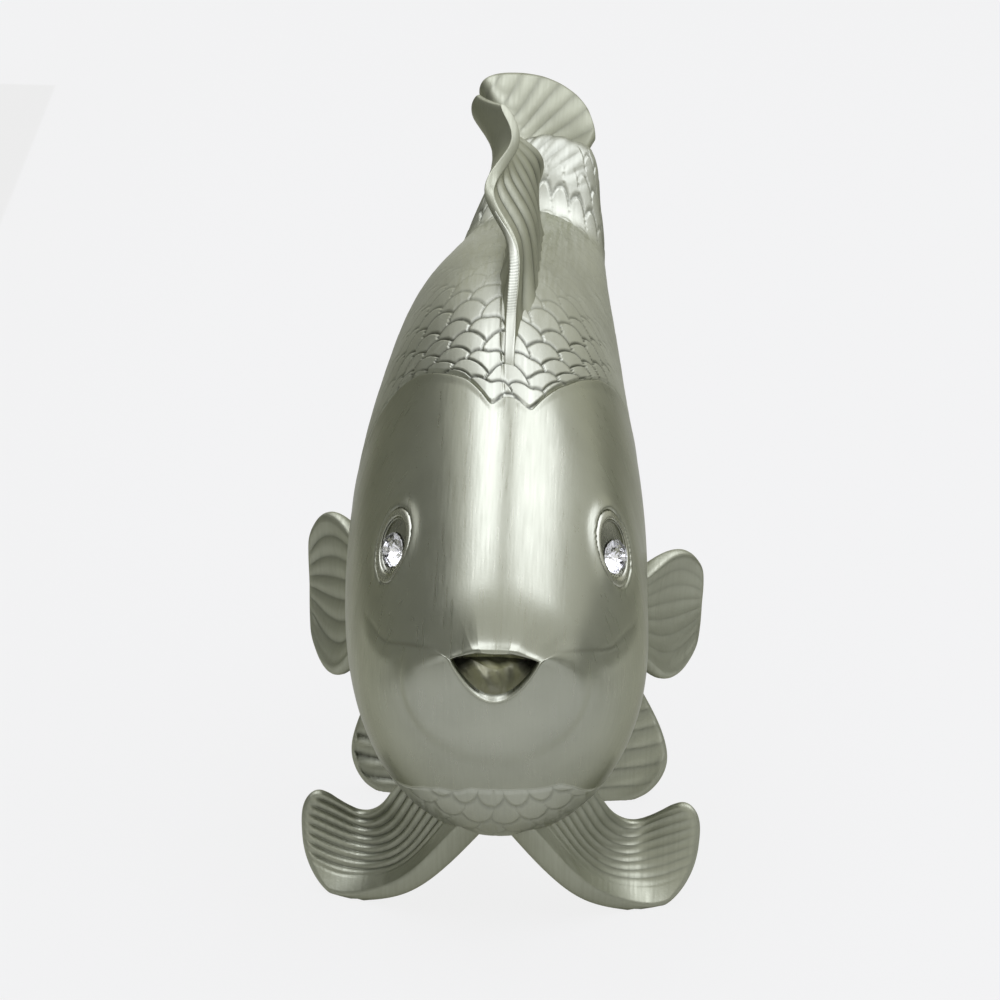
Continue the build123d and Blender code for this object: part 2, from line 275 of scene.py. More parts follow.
def settle(piece: bpy.types.Object, slot: str, finish: bpy.types.Material, *nodes: str) -> None:
    """Give a piece its finish, hang it under the root, hide the nodes that it stands for and log its slot.

    Args:
        piece: The visual piece.
        slot: Material slot of the record.
        finish: Its material.
        nodes: CAD nodes that it replaces.
    """
    piece.data.materials.append(finish)
    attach(piece, "root")
    if nodes:
        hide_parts(*nodes)
    log.info("%s: %d faces, in slot %s", piece.name, len(piece.data.polygons), slot)


# Finishes


# Length of a line of the brush, as a multiple of its width
LINE_STRETCH = 18


@dataclass(frozen=True)
class SatinPlate:
    """Satin nickel plate over a casting, brushed or left as cast.

    The brushing draws fine lines that smear highlights along them, and a dark tone is mixed in as
    painted shade, mostly in hollows, creases and recesses. The edge tone is the plate's colour where it
    turns away.
    Widths and depths of the lines and pits are in mm, and so is the size of the cloudy patches.
    """

    name: str
    tone: str
    painted_shade_tone: str
    roughness: float
    line_width: float
    line_depth: float
    pit_size: float
    pit_depth: float
    edge_tone: str = "c6c6b6"
    cloud_size: float = 14.0

    def material(self) -> bpy.types.Material:
        """Build the material.

        Returns:
            The new material.
        """
        made = bpy.data.materials.new(self.name)
        made.use_nodes = True
        tree = made.node_tree
        tree.nodes.clear()
        place = add_node(tree, "ShaderNodeTexCoord")
        # Lines that run up the front, so they vary quickly only from side to side
        fine, slow = 1 / (self.line_width * MM), 1 / (LINE_STRETCH * self.line_width * MM)
        up_front = add_node(
            tree, "ShaderNodeMapping", {"Scale": (fine, slow, slow)}, {"Vector": place.outputs["Object"]}
        )
        front_lines = add_node(
            tree, "ShaderNodeTexNoise", {"Scale": 1.0, "Detail": 2.0}, {"Vector": up_front.outputs[0]}
        )
        up_side = add_node(
            tree, "ShaderNodeMapping", {"Scale": (slow, fine, slow)}, {"Vector": place.outputs["Object"]}
        )
        side_lines = add_node(
            tree, "ShaderNodeTexNoise", {"Scale": 1.0, "Detail": 2.0}, {"Vector": up_side.outputs[0]}
        )
        split = add_node(tree, "ShaderNodeSeparateXYZ", links={0: place.outputs["Normal"]})
        sideways = add_node(
            tree, "ShaderNodeMath", {"operation": "ABSOLUTE"}, {0: split.outputs["X"]}
        )
        turn = add_node(
            tree, "ShaderNodeMapRange", {"From Min": 0.55, "From Max": 0.85},
            {"Value": sideways.outputs[0]},
        )
        lines = add_node(
            tree, "ShaderNodeMix", {"data_type": "FLOAT"},
            {0: turn.outputs[0], 2: front_lines.outputs["Fac"], 3: side_lines.outputs["Fac"]},
        )
        pits = add_node(
            tree, "ShaderNodeTexNoise", {"Scale": 1 / (self.pit_size * MM), "Detail": 3.0},
            {"Vector": place.outputs["Object"]},
        )
        cloud = add_node(
            tree, "ShaderNodeTexNoise", {"Scale": 1 / (self.cloud_size * MM), "Detail": 2.0},
            {"Vector": place.outputs["Object"]},
        )
        # Painted shade: this attribute mixes the dark tone in, mostly in hollows, creases and recesses
        painted_shade = add_node(tree, "ShaderNodeAttribute", {"attribute_name": "painted_shade"})
        tone = add_node(
            tree, "ShaderNodeMix", {"data_type": "RGBA", 6: linear(self.tone), 7: linear(self.painted_shade_tone)},
            {0: painted_shade.outputs["Fac"]},
        )
        mottle = add_node(
            tree, "ShaderNodeMapRange",
            {"From Min": 0.3, "From Max": 0.7, "To Min": 0.92, "To Max": 1.06},
            {"Value": cloud.outputs["Fac"]},
        )
        worn = add_node(
            tree, "ShaderNodeVectorMath", {"operation": "SCALE"},
            {0: tone.outputs[2], "Scale": mottle.outputs[0]},
        )
        rough = add_node(
            tree, "ShaderNodeMapRange",
            {"From Min": 0.3, "From Max": 0.7, "To Min": self.roughness * 0.82,
             "To Max": self.roughness * 1.2},
            {"Value": lines.outputs[0]},
        )
        line_bump = add_node(
            tree, "ShaderNodeBump", {"Strength": 0.6, "Distance": self.line_depth * MM},
            {"Height": lines.outputs[0]},
        )
        pit_bump = add_node(
            tree, "ShaderNodeBump", {"Strength": 0.6, "Distance": self.pit_depth * MM},
            {"Height": pits.outputs["Fac"], "Normal": line_bump.outputs[0]},
        )
        shader = add_node(
            tree, "ShaderNodeBsdfPrincipled", {"Metallic": 1.0, "Specular Tint": linear(self.edge_tone)},
            {"Base Color": worn.outputs[0], "Roughness": rough.outputs[0],
             "Normal": pit_bump.outputs[0]},
        )
        add_node(tree, "ShaderNodeOutputMaterial", links={"Surface": shader.outputs[0]})
        return made


@dataclass(frozen=True)
class CutCrystal:
    """Lead crystal, ground and polished, so each facet is flat and clear with sharp edges.

    A film from handling dulls it in patches, whose size is in mm.
    """

    name: str
    tone: str
    ior: float = 1.56
    film_size: float = 0.8

    def material(self) -> bpy.types.Material:
        """Build the material.

        Returns:
            The new material.
        """
        made = bpy.data.materials.new(self.name)
        made.use_nodes = True
        tree = made.node_tree
        shader = tree.nodes["Principled BSDF"]
        shader.inputs["Transmission Weight"].default_value = 1.0
        shader.inputs["IOR"].default_value = self.ior
        place = add_node(tree, "ShaderNodeTexCoord")
        film = add_node(
            tree, "ShaderNodeTexNoise", {"Scale": 1 / (self.film_size * MM), "Detail": 2.0},
            {"Vector": place.outputs["Object"]},
        )
        rough = add_node(
            tree, "ShaderNodeMapRange",
            {"From Min": 0.35, "From Max": 0.75, "To Min": 0.0, "To Max": 0.02},
            {"Value": film.outputs["Fac"]},
        )
        shader.inputs["Base Color"].default_value = linear(self.tone)
        tree.links.new(rough.outputs[0], shader.inputs["Roughness"])
        return made


@dataclass(frozen=True)
class PlainSurface:
    """A plain surface with a fine grain, such as cast resin, drawn steel or foil.

    The grain's width is in mm.
    """

    name: str
    tone: str
    dark_tone: str
    metallic: float
    roughness: float
    grain: float

    def material(self) -> bpy.types.Material:
        """Build the material.

        Returns:
            The new material.
        """
        made = bpy.data.materials.new(self.name)
        made.use_nodes = True
        tree = made.node_tree
        shader = tree.nodes["Principled BSDF"]
        shader.inputs["Metallic"].default_value = self.metallic
        place = add_node(tree, "ShaderNodeTexCoord")
        noise = add_node(
            tree, "ShaderNodeTexNoise", {"Scale": 1 / (self.grain * MM), "Detail": 4.0},
            {"Vector": place.outputs["Object"]},
        )
        tone = add_node(
            tree, "ShaderNodeMix", {"data_type": "RGBA", 6: linear(self.dark_tone), 7: linear(self.tone)},
            {0: noise.outputs["Fac"]},
        )
        rough = add_node(
            tree, "ShaderNodeMapRange",
            {"From Min": 0.3, "From Max": 0.7, "To Min": self.roughness * 0.8,
             "To Max": self.roughness * 1.2},
            {"Value": noise.outputs["Fac"]},
        )
        bump = add_node(
            tree, "ShaderNodeBump", {"Strength": 0.5, "Distance": 0.1 * self.grain * MM},
            {"Height": noise.outputs["Fac"]},
        )
        tree.links.new(tone.outputs[2], shader.inputs["Base Color"])
        tree.links.new(rough.outputs[0], shader.inputs["Roughness"])
        tree.links.new(bump.outputs[0], shader.inputs["Normal"])
        return made


# Brushed with a wire wheel up the face: lines a third of a millimetre apart, coarser than real
BRUSHED_NICKEL = SatinPlate(
    name="brushed_satin_nickel_plate", tone="a0a291", painted_shade_tone="4a4c41", roughness=0.32,
    line_width=0.35, line_depth=0.020, pit_size=0.4, pit_depth=0.016,
)
# Plated over cast scales, so it keeps a little of the grain of the mould, with painted shade in its hollows
CAST_NICKEL = SatinPlate(
    name="satin_nickel_plate_as_cast", tone="aeb0a0", painted_shade_tone="34362e", roughness=0.42,
    line_width=0.45, line_depth=0.016, pit_size=0.35, pit_depth=0.030,
)
# The fins and tail were brushed least, so they are duller and scatter the light more
FIN_NICKEL = SatinPlate(
    name="dull_satin_nickel_plate", tone="9a9c89", painted_shade_tone="34362e", roughness=0.46,
    line_width=0.45, line_depth=0.016, pit_size=0.35, pit_depth=0.030,
)
# Edge of the eye settings, burnished brighter than the skin
BURNISHED_NICKEL = SatinPlate(
    name="burnished_nickel_plate", tone="a8a999", painted_shade_tone="4a4c41", roughness=0.27,
    line_width=0.4, line_depth=0.006, pit_size=0.5, pit_depth=0.006,
)
# Inside of the mouth, rough as it left the mould and out of reach of the brush; its dark tone is painted
# shade under the upper lip
ROUGH_NICKEL = SatinPlate(
    name="rough_nickel_plate_in_mouth", tone="d0d0ba", painted_shade_tone="30312a", roughness=0.5,
    line_width=0.6, line_depth=0.03, pit_size=0.45, pit_depth=0.10,
)
# Polished facets, so the stone sparkles in hard-edged patches
CRYSTAL = CutCrystal(name="cut_lead_crystal", tone="ffffff")
# Silvered back of the stone, which sends the light out again through the facets
MIRROR_FOIL = PlainSurface(
    name="silver_mirror_foil", tone="f2f2f0", dark_tone="e2e2df", metallic=1.0,
    roughness=0.04, grain=0.8,
)
# Poured filling, dull and slightly grainy
CAST_RESIN = PlainSurface(
    name="cast_polyester_resin", tone="a59c86", dark_tone="8f8772", metallic=0.0,
    roughness=0.55, grain=0.9,
)
# Rod drawn through a die, smooth and grey
DRAWN_STEEL = PlainSurface(
    name="drawn_steel_rod", tone="9a9a9a", dark_tone="7d7d7d", metallic=1.0,
    roughness=0.3, grain=0.6,
)


# Form of the body, shared by the head, the shells and the stalk


@dataclass(frozen=True)
class BodyForm:
    """Outer form of the body, as sections square to its length."""

    rows: tuple[tuple[float, ...], ...] = BODY_ROWS

    def knots(self) -> tuple[np.ndarray, np.ndarray]:
        """Places of the rows and their sizes.

        Returns:
            Places along the body, and rows of sizes, all in mm.
        """
        table = np.array(self.rows)
        scales = np.array([BACK_HEIGHT] * 3 + [BODY_WIDTH] * 2)
        return table[:, 0] * BODY_LENGTH, table[:, 1:] * scales

    def section(self, row: np.ndarray, turn: np.ndarray) -> np.ndarray:
        """Points of sections.

        Args:
            row: Top, bottom, widest level, half-width and bend, in a last axis.
            turn: Signed turn round the section, 0 at the crown and 2 at the keel.

        Returns:
            Across and up, in a last axis, in mm.
        """
        top, bottom, widest, half, bend = np.moveaxis(row, -1, 0)
        amount = np.abs(turn)
        t = np.where(amount <= 1, amount, amount - 1)
        up, down = top - widest, widest - bottom
        crown = bezier(t, 0, half * CROWN_HANDLE, half, half), bezier(t, up, up, up * ROUND_HANDLE, 0)
        keel = bezier(t, half, half, half * ROUND_HANDLE, 0), -bezier(
            t, 0, down * ROUND_HANDLE, down, down
        )
        across = np.where(amount <= 1, crown[0], keel[0]) * np.where(turn < 0, -1, 1)
        level = np.where(amount <= 1, crown[1], keel[1])
        return np.stack([bend + across, widest + level], -1)

    def point(self, back: np.ndarray, turn: np.ndarray) -> np.ndarray:
        """Points of the body, in mm, at distances back from the mouth and turns round it."""
        across_up = self.section(spline(back, *self.knots()), turn)
        return np.stack([across_up[..., 0], back + 0 * across_up[..., 0], across_up[..., 1]], -1)


def head_edge(turn: np.ndarray) -> np.ndarray:
    """Place along the body where the head ends.

    Args:
        turn: Signed turn round the section.

    Returns:
        Places in mm.
    """
    amount = np.abs(turn)
    soft = np.zeros(np.shape(turn))
    for shift in (-EDGE_BLUR, 0.0, EDGE_BLUR):
        place = np.abs(amount + shift)
        right = np.interp(place, *np.array(RIGHT_HEAD_EDGE).T)
        left = np.interp(place, *np.array(LEFT_HEAD_EDGE).T)
        soft = soft + np.where(turn < 0, right, left) / 3
    return soft


@dataclass(frozen=True)
class ScalePattern:
    """Rounded overlapping scales, raised at their rear edges, with a crevice behind each."""

    pitch: float = 0.5
    reach: float = 0.66
    wobble: float = 0.05
    rim: float = 0.06
    crevice: float = 0.10

    def relief(self, columns: np.ndarray, rows: np.ndarray) -> tuple[np.ndarray, np.ndarray]:
        """Height and hollows of the scales.

        Args:
            columns: Place across the scales, in scale widths.
            rows: Place along the scales, in scale widths.

        Returns:
            Height from 0 to 1, and depth of hollow from 0 to 1.
        """
        first = np.floor(rows / self.pitch)
        scales = []
        for step in (-2, -1, 0, 1, 2):
            row = first + step
            shift = np.where(row % 2 == 0, 0.5, 0.0)
            for side in (-1, 0, 1):
                column = np.round(columns - shift) + shift + side
                away = rows - row * self.pitch
                # Every scale is a little out of place, as modelled by hand
                wobble = self.wobble * np.sin(12.9 * column + 78.2 * row)
                distance = np.hypot(columns - column - wobble, away - 0.6 * wobble)
                scales.append((row, distance, away))
        best = np.full(columns.shape, 1e9)
        height = np.zeros(columns.shape)
        edge = np.zeros(columns.shape)
        for row, distance, away in scales:
            inside = (distance < self.reach) & (row < best)
            rise = np.clip((away + self.reach) / (2 * self.reach), 0, 1)
            best = np.where(inside, row, best)
            height = np.where(inside, 0.1 + 0.9 * rise**1.4, height)
            edge = np.where(inside, self.reach - distance, edge)
        gap = np.full(columns.shape, 1e9)
        for row, distance, _ in scales:
            gap = np.where(row < best, np.minimum(gap, np.abs(distance - self.reach)), gap)
        rim = smooth_step(edge, 0.0, self.rim)
        crevice = 1 - smooth_step(gap, 0.0, self.crevice)
        hollow = np.maximum(crevice, 1 - smooth_step(edge, 0, self.rim / 2))
        return height * rim * (1 - 0.6 * crevice), hollow


@dataclass
class BodyShells:
    """The two scaled shells behind the head."""

    rows: int = 245
    columns: int = 300
    scales_round: float = 17.0
    relief: float = 0.6
    sunk: float = 0.22
    # How far the front rim is tucked back and down under the edge of the head, in mm
    tuck: float = 0.35
    tuck_depth: float = 0.26

    def girths(self) -> tuple[np.ndarray, np.ndarray, np.ndarray]:
        """Arc lengths round the body.

        Returns:
            Stations along the body in mm, turns round it, and the arc length to each turn in mm.
        """
        stations = np.linspace(0, BODY_LENGTH, 60)
        turns = np.linspace(0, 2, 120)
        rings = BodyForm().point(stations[:, None] + 0 * turns, turns + 0 * stations[:, None])
        steps = np.linalg.norm(np.diff(rings, axis=1), axis=-1)
        arcs = np.concatenate([np.zeros((len(stations), 1)), np.cumsum(steps, axis=1)], axis=1)
        return stations, turns, arcs

    def scale_places(self, back: np.ndarray, turn: np.ndarray) -> tuple[np.ndarray, np.ndarray]:
        """Places of points among the scales, in scale widths.

        Args:
            back: Place along the body, in mm.
            turn: Unsigned turn round the section.

        Returns:
            Place across from the crown, and place along.
        """
        stations, turns, arc = self.girths()
        row = np.clip(np.interp(back, stations, np.arange(len(stations))), 0, len(stations) - 1.001)
        column = np.clip(turn / 2 * (len(turns) - 1), 0, len(turns) - 1.001)
        i, j = row.astype(int), column.astype(int)
        a, b = row - i, column - j
        along_arc = (1 - a) * ((1 - b) * arc[i, j] + b * arc[i, j + 1]) + a * (
            (1 - b) * arc[i + 1, j] + b * arc[i + 1, j + 1]
        )
        girth = np.interp(back, stations, arc[:, -1])
        # Rows are close together behind the head and open out along the back
        stretch = 0.95 + 0.85 * smooth_step(stations, 32, 50)
        width = arc[:, -1] / self.scales_round * stretch
        steps = np.diff(stations) / ((width[1:] + width[:-1]) / 2)
        along = np.interp(back, stations, np.concatenate([[0], np.cumsum(steps)]))
        return along_arc / girth * self.scales_round, along

    def build(self, finish: bpy.types.Material) -> list[bpy.types.Object]:
        """Build both shells.

        Args:
            finish: Their material.

        Returns:
            The right and left shells.
        """
        form = BodyForm()
        shells = []
        for side in Side:
            share = np.linspace(0, 1, self.columns)
            turn = 2 * (share - 0.6 * np.sin(2 * np.pi * share) / (2 * np.pi))
            down = np.linspace(0, 1, self.rows)[:, None]
            signed = side.value * np.maximum(turn, 1e-9)
            edge = head_edge(signed)
            back = edge + (BODY_LENGTH - edge) * (0.45 * down + 0.55 * down**2)
            # The front rim starts under the edge of the head, so no gap shows between them
            back = back - self.tuck * (1 - smooth_step(down, 0.0, 0.012))
            signed, turn = signed + 0 * back, turn + 0 * back
            points = form.point(back, signed)
            outward = outward_normals(points)
            # Rows of scales run along the edge of the head, less so further back
            behind = back - edge
            lean = 0.7 * (np.minimum(edge, 46.0) - 29.0) * np.exp(-behind / 26)
            across, along = self.scale_places(back - lean, turn)
            height, hollow = ScalePattern().relief(across - 0.13 * side.value, along + 0.15)
            # They are crisp at the nape, softer at the throat and worn nearly flat elsewhere
            nape = np.exp(-((behind / 24) ** 2)) * (1 - smooth_step(turn, 0.34, 0.72))
            throat = 0.32 * smooth_step(turn, 1.48, 1.62) * np.exp(-((behind / 26) ** 2))
            crisp = np.maximum(0.14, np.maximum(nape, throat))
            offset = self.relief * crisp * height - self.sunk * crisp
            risen = smooth_step(behind, 0.0, 0.7)
            offset = offset * risen - self.tuck_depth * (1 - risen)
            seam = smooth_step(turn, 0, 0.012) * (1 - smooth_step(turn, 1.985, 2.0))
            points = points + outward * (offset * seam)[..., None]
            # Painted shade in the crevices between the scales, strongest where the scales are crisp
            shell = make_piece(
                f"{side.word}_scaled_shell", points.reshape(-1, 3), grid_faces(self.rows, self.columns),
                (hollow * np.clip(1.2 * crisp - 0.12, 0, 0.9)).ravel(),
            )
            settle(shell, "scaled_skin", finish, f"{side.word}_body_shell")
            shells.append(shell)
        return shells


@dataclass(frozen=True)
class EyePlace:
    """Place and facing of one eye."""

    side: Side
    turn: float = 36.0
    tilt: float = 15.5
    buried: float = 1.35
    # Middle of the oval from the middle of the stone, towards the nose, in mm
    to_nose: float = 1.2
    # The ovals lean back on the sloping skin, the right one more, so both look upright
    LEAN: ClassVar[dict[Side, float]] = {Side.RIGHT: 44.0, Side.LEFT: 38.0}
    # Set by hand, so the two aren't quite level: forward and up, in mm
    SHIFT: ClassVar[dict[Side, tuple[float, float]]] = {Side.RIGHT: (1.0, 0.2), Side.LEFT: (-0.8, 0.5)}
    # How far the stone sits below the middle of the oval, in mm
    DROP: ClassVar[dict[Side, float]] = {Side.RIGHT: 0.1, Side.LEFT: 0.9}

    def frame(self) -> tuple[np.ndarray, np.ndarray, np.ndarray, np.ndarray]:
        """Place and directions of the eye.

        Returns:
            Its middle on the skin in mm, then its across, up and outward directions.
        """
        forward, lift = self.SHIFT[self.side]
        lean, turn, tilt = [math.radians(angle) for angle in (self.LEAN[self.side], self.turn, self.tilt)]
        sign = self.side.value
        out = np.array([
            sign * math.cos(turn) * math.cos(tilt), -math.sin(turn) * math.cos(tilt), math.sin(tilt)
        ])
        level = np.array([-out[1], out[0], 0.0])
        level /= np.linalg.norm(level)
        rise = np.cross(out, level)
        up = math.cos(lean) * rise + math.sin(lean) * sign * level
        across = math.cos(lean) * level - math.sin(lean) * sign * rise
        low, high = [np.array(corner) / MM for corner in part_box(f"{self.side.word}_eye_setting")]
        # The setting of the model reaches deeper into the head than it stands out of it
        middle = (low + high) / 2 - np.array([0, NOSE_Y, 0])
        middle = middle + out * self.buried - sign * forward * level + np.array([0, 0, lift])
        return middle, across, up, out

    def skin(self, x: np.ndarray, y: np.ndarray) -> np.ndarray:
        """Height of the skin of the head over the plane of the eye.

        Args:
            x: Places across the eye, in mm.
            y: Places up the eye, in mm.

        Returns:
            Heights in mm.
        """
        middle, across, up, out = self.frame()
        back, turn = np.meshgrid(np.linspace(12, 34, 60), self.side.value * np.linspace(0.3, 1.1, 60))
        offset = BodyForm().point(back, turn).reshape(-1, 3) - middle
        a, b, deep = offset @ across, offset @ up, offset @ out
        near = np.hypot(a, b) < 7
        a, b, deep = a[near], b[near], deep[near]
        terms = np.stack([np.ones_like(a), a, b, a * a, a * b, b * b], 1)
        fit = np.linalg.lstsq(terms, deep, rcond=None)[0]
        return fit[0] + fit[1] * x + fit[2] * y + fit[3] * x * x + fit[4] * x * y + fit[5] * y * y


@dataclass
class Head:
    """Smooth head with its beak, lips, eye sockets and cheek creases."""

    rows: int = 185
    lip_rows: int = 64
    columns: int = 400
    start: float = 6.4
    corner_turn: float = 0.72
    # Half-widths of the lips and of the opening between them, in mm
    lip_half: float = 6.7
    mouth_half: float = 6.15
    # Crest of the upper lip from the beak to the corner: turn, then across, back and up in mm
    UPPER_LIP: ClassVar[tuple[tuple[float, ...], ...]] = (
        (0.00, 0.0, -0.9, 57.3), (0.20, 1.9, -0.8, 57.3), (0.36, 2.9, -0.5, 57.15),
        (0.50, 4.3, 0.0, 56.6), (0.62, 5.8, 0.4, 56.0), (0.72, 6.7, 0.6, 55.5),
    )
    # Ridge round an eye and the socket inside it, in mm
    socket_width: float = 5.75
    socket_height: float = 6.75
    ridge: float = 0.55
    socket_depth: float = 4.4
    # Crease along the cheek and the swelling under it, in mm
    crease_depth: float = 0.13
    cheek_rise: float = 0.20
    # Height and roll of the rear edge over the scales, in mm
    edge_lift: float = 0.09
    edge_roll: float = 0.30

    def crest(self, turn: np.ndarray) -> np.ndarray:
        """Foremost line of the lips: the beak, down to the corners, and the round lower lip.

        Args:
            turn: Turn round the section.

        Returns:
            Points in mm.
        """
        amount = np.abs(turn)
        bow = np.clip((amount - self.corner_turn) / (2 - self.corner_turn), 0, 1) * np.pi / 2
        places, *columns = np.array(self.UPPER_LIP).T
        upper_x, upper_y, upper_z = [np.interp(amount, places, column) for column in columns]
        lower = amount > self.corner_turn
        x = np.where(lower, self.lip_half * np.cos(bow), upper_x)
        y = np.where(lower, 0.6 - 1.0 * np.sin(bow), upper_y)
        z = np.where(lower, 55.5 - 6.2 * np.sin(bow) ** 2, upper_z)
        return np.stack([np.where(turn < 0, -1, 1) * x, y, z], -1)

    def rim(self, turn: np.ndarray) -> np.ndarray:
        """Edge of the mouth opening, straight above and round below.

        Args:
            turn: Turn round the section.

        Returns:
            Points in mm.
        """
        amount = np.abs(turn)
        bow = np.clip((amount - self.corner_turn) / (2 - self.corner_turn), 0, 1) * np.pi / 2
        top = np.clip(amount / self.corner_turn, 0, 1)
        lower = amount > self.corner_turn
        x = self.mouth_half * np.where(lower, np.cos(bow), top)
        y = np.where(lower, 1.4 - 0.85 * np.sin(bow), 1.6 - 0.2 * top)
        z = np.where(lower, 55.3 - 5.15 * np.sin(bow) ** 2, 55.75 - 0.45 * top**3)
        return np.stack([np.where(turn < 0, -1, 1) * x, y, z], -1)

    def lips(self, turn: np.ndarray, part: np.ndarray) -> np.ndarray:
        """Surface from the front section of the body over the lips to the mouth opening.

        Args:
            turn: Turn round the section.
            part: 0 on the front section of the body, 1 on the opening.

        Returns:
            Points in mm.
        """
        form = BodyForm()
        amount = np.abs(turn)
        far, near = form.point(0 * turn + self.start, turn), form.point(0 * turn + 2.2, turn)
        early = form.point(0 * turn + self.start - 0.9, turn)
        crest, rim = self.crest(turn), self.rim(turn)
        outward = crest - np.array([0, 0, 54.0])
        outward[..., 1] = 0
        outward /= np.linalg.norm(outward, axis=-1, keepdims=True)
        beak = (1 - smooth_step(amount, 0.30, 0.60))[..., None]
        lower = smooth_step(amount, 0.72, 1.0)[..., None]
        ahead = np.array([0, -1.0, 0])
        # A shallow hollow behind the edge of the lips makes them stand out
        hollow = crest - ahead * (0.75 + 0.25 * beak + 0.35 * lower) + outward * (0.80 + 0.20 * beak)
        middle = 0.35 * near + 0.65 * (0.45 * far + 0.55 * hollow)
        # The snout is pinched above the lips only; the chin keeps the form of the body
        chin = smooth_step(amount, 0.62, 0.95)[..., None]
        middle = middle * (1 - chin) + form.point(0 * turn + 3.0, turn) * chin
        over = crest + outward * (0.26 + 0.16 * beak) - ahead * (0.12 + 0.06 * lower)
        under = crest - outward * (0.26 + 0.10 * lower) - ahead * (0.14 + 0.24 * lower)
        inner = 0.35 * crest + 0.65 * rim - outward * 0.05
        knots = np.array([0, 0.09, 0.34, 0.58, 0.72, 0.79, 0.86, 0.93, 1.0])
        table = np.stack([far, early, middle, hollow, over, crest, under, inner, rim])
        values = spline(part[:, 0], knots, table.reshape(len(knots), -1))
        return values.reshape(len(part), *far.shape[-2:])

    def swelling(self, points: np.ndarray) -> tuple[np.ndarray, np.ndarray]:
        """Small forms of the head as heights over its skin.

        Args:
            points: Points of the skin, in mm.

        Returns:
            Height in mm, and painted shade in the creases from 0 to 1.
        """
        height = np.zeros(points.shape[:-1])
        painted_shade = np.zeros(points.shape[:-1])
        for side in Side:
            eye = EyePlace(side)
            middle, across, up, out = eye.frame()
            offset = points - middle
            x, y, deep = offset @ across, offset @ up, offset @ out
            x = x + side.value * eye.to_nose
            near = smooth_step(-np.abs(deep), -7.0, -5.0)
            ring = np.hypot(x / self.socket_width, y / self.socket_height)
            nose = -side.value * x / self.socket_width / np.maximum(ring, 0.1)
            raised = 0.35 + 0.65 * smooth_step(nose, -0.7, 0.7)
            slope = np.where(ring > 0.93, np.exp(-(((ring - 0.93) / 0.20) ** 2)), 1.0)
            height += self.ridge * raised * slope * near
            height -= self.socket_depth * (1 - smooth_step(ring, 0.78, 0.92)) * near
            # Crease that runs back along the cheek from beside the mouth
            y_back = points[..., 1]
            line = 56.4 - 2.4 * smooth_step(y_back, 2, 12) + 0.5 * smooth_step(y_back, 12, 22)
            ends = smooth_step(y_back, 1.5, 4) * (1 - smooth_step(y_back, 16, 24))
            own = smooth_step(side.value * points[..., 0], 6, 9)
            away = points[..., 2] - line
            crease = np.exp(-((away / 0.32) ** 2)) * ends * own
            height -= self.crease_depth * crease
            height += self.cheek_rise * np.exp(-(((away + 2.2) / 1.8) ** 2)) * ends * own
            # Painted shade along the crease of the cheek
            painted_shade += 0.3 * crease
        return height, np.clip(painted_shade, 0, 1)

    def build(self, finish: bpy.types.Material) -> bpy.types.Object:
        """Build the head.

        Args:
            finish: Its material.

        Returns:
            The head piece.
        """
        form = BodyForm()
        turn = np.linspace(-2, 2, self.columns + 1)[:-1]
        turn = np.where(np.abs(turn) < 1e-9, 1e-9, turn)
        part = np.linspace(1, 0, self.lip_rows)[:-1, None]
        front = self.lips(turn, part)
        edge = head_edge(turn)
        share = np.linspace(0, 1, self.rows)[:, None]
        back = self.start + (edge - self.start) * share
        points = np.concatenate([front, form.point(back, turn + 0 * back)])
        normals = outward_normals(points, wrap=True)
        height, painted_shade = self.swelling(points)
        # The small forms fade in just behind the lips
        past_lips = np.concatenate([np.zeros(len(part)), np.clip(share[:, 0] * 30, 0, 1)])[:, None]
        points = points + normals * (height * past_lips)[..., None]
        # The rear edge stands a little over the scales and rolls down to hide their rim
        length = edge.mean() - self.start
        to_edge = np.concatenate([np.full(len(part), length), (1 - share[:, 0]) * length])[:, None]
        lift = self.edge_lift * (1 - smooth_step(to_edge, 0.4, 2.4))
        lift = lift - self.edge_roll * (1 - smooth_step(to_edge, 0.0, 0.4))
        points = points + normals * lift[..., None]
        rows = len(points)
        head = make_piece(
            "smooth_head", points.reshape(-1, 3), grid_faces(rows, self.columns, wrap=True), painted_shade.ravel()
        )
        settle(head, "brushed_skin", finish, "head_shell")
        return head

    def build_mouth(self, finish: bpy.types.Material) -> bpy.types.Object:
        """Build the cup inside the mouth.

        Args:
            finish: Its material.

        Returns:
            The cup piece.
        """
        columns, rows = 200, 60
        turn = np.linspace(-2, 2, columns + 1)[:-1]
        turn = np.where(np.abs(turn) < 1e-9, 1e-9, turn)
        rim = self.rim(turn)
        middle = np.array([0.0, 5.0, 52.2])
        part = np.linspace(0, 1, rows)[:, None]
        points = rim + (middle - rim) * (part**1.3)[..., None]
        points[..., 1] = rim[:, 1] + (middle[1] - rim[:, 1]) * np.sin(part * np.pi / 2) ** 0.8
        # Lumps of the casting, low on the floor of the cup
        lump = 0.7 * np.exp(-(((points[..., 0] - 0.4) / 1.6) ** 2)) + 0.3 * np.sin(
            2.3 * points[..., 0] + 1.4 * points[..., 2]
        )
        points[..., 1] -= lump * np.sin(np.pi * part)
        # Painted shade at the top of the cup, under the upper lip
        shade = 0.95 * np.clip((points[..., 2] - 52.9) / 1.3, 0, 1)
        cup = make_piece(
            "mouth_cup_lining", points.reshape(-1, 3), grid_faces(rows, columns, wrap=True), shade.ravel()
        )
        settle(cup, "mouth_lining", finish, "mouth_cup")
        return cup


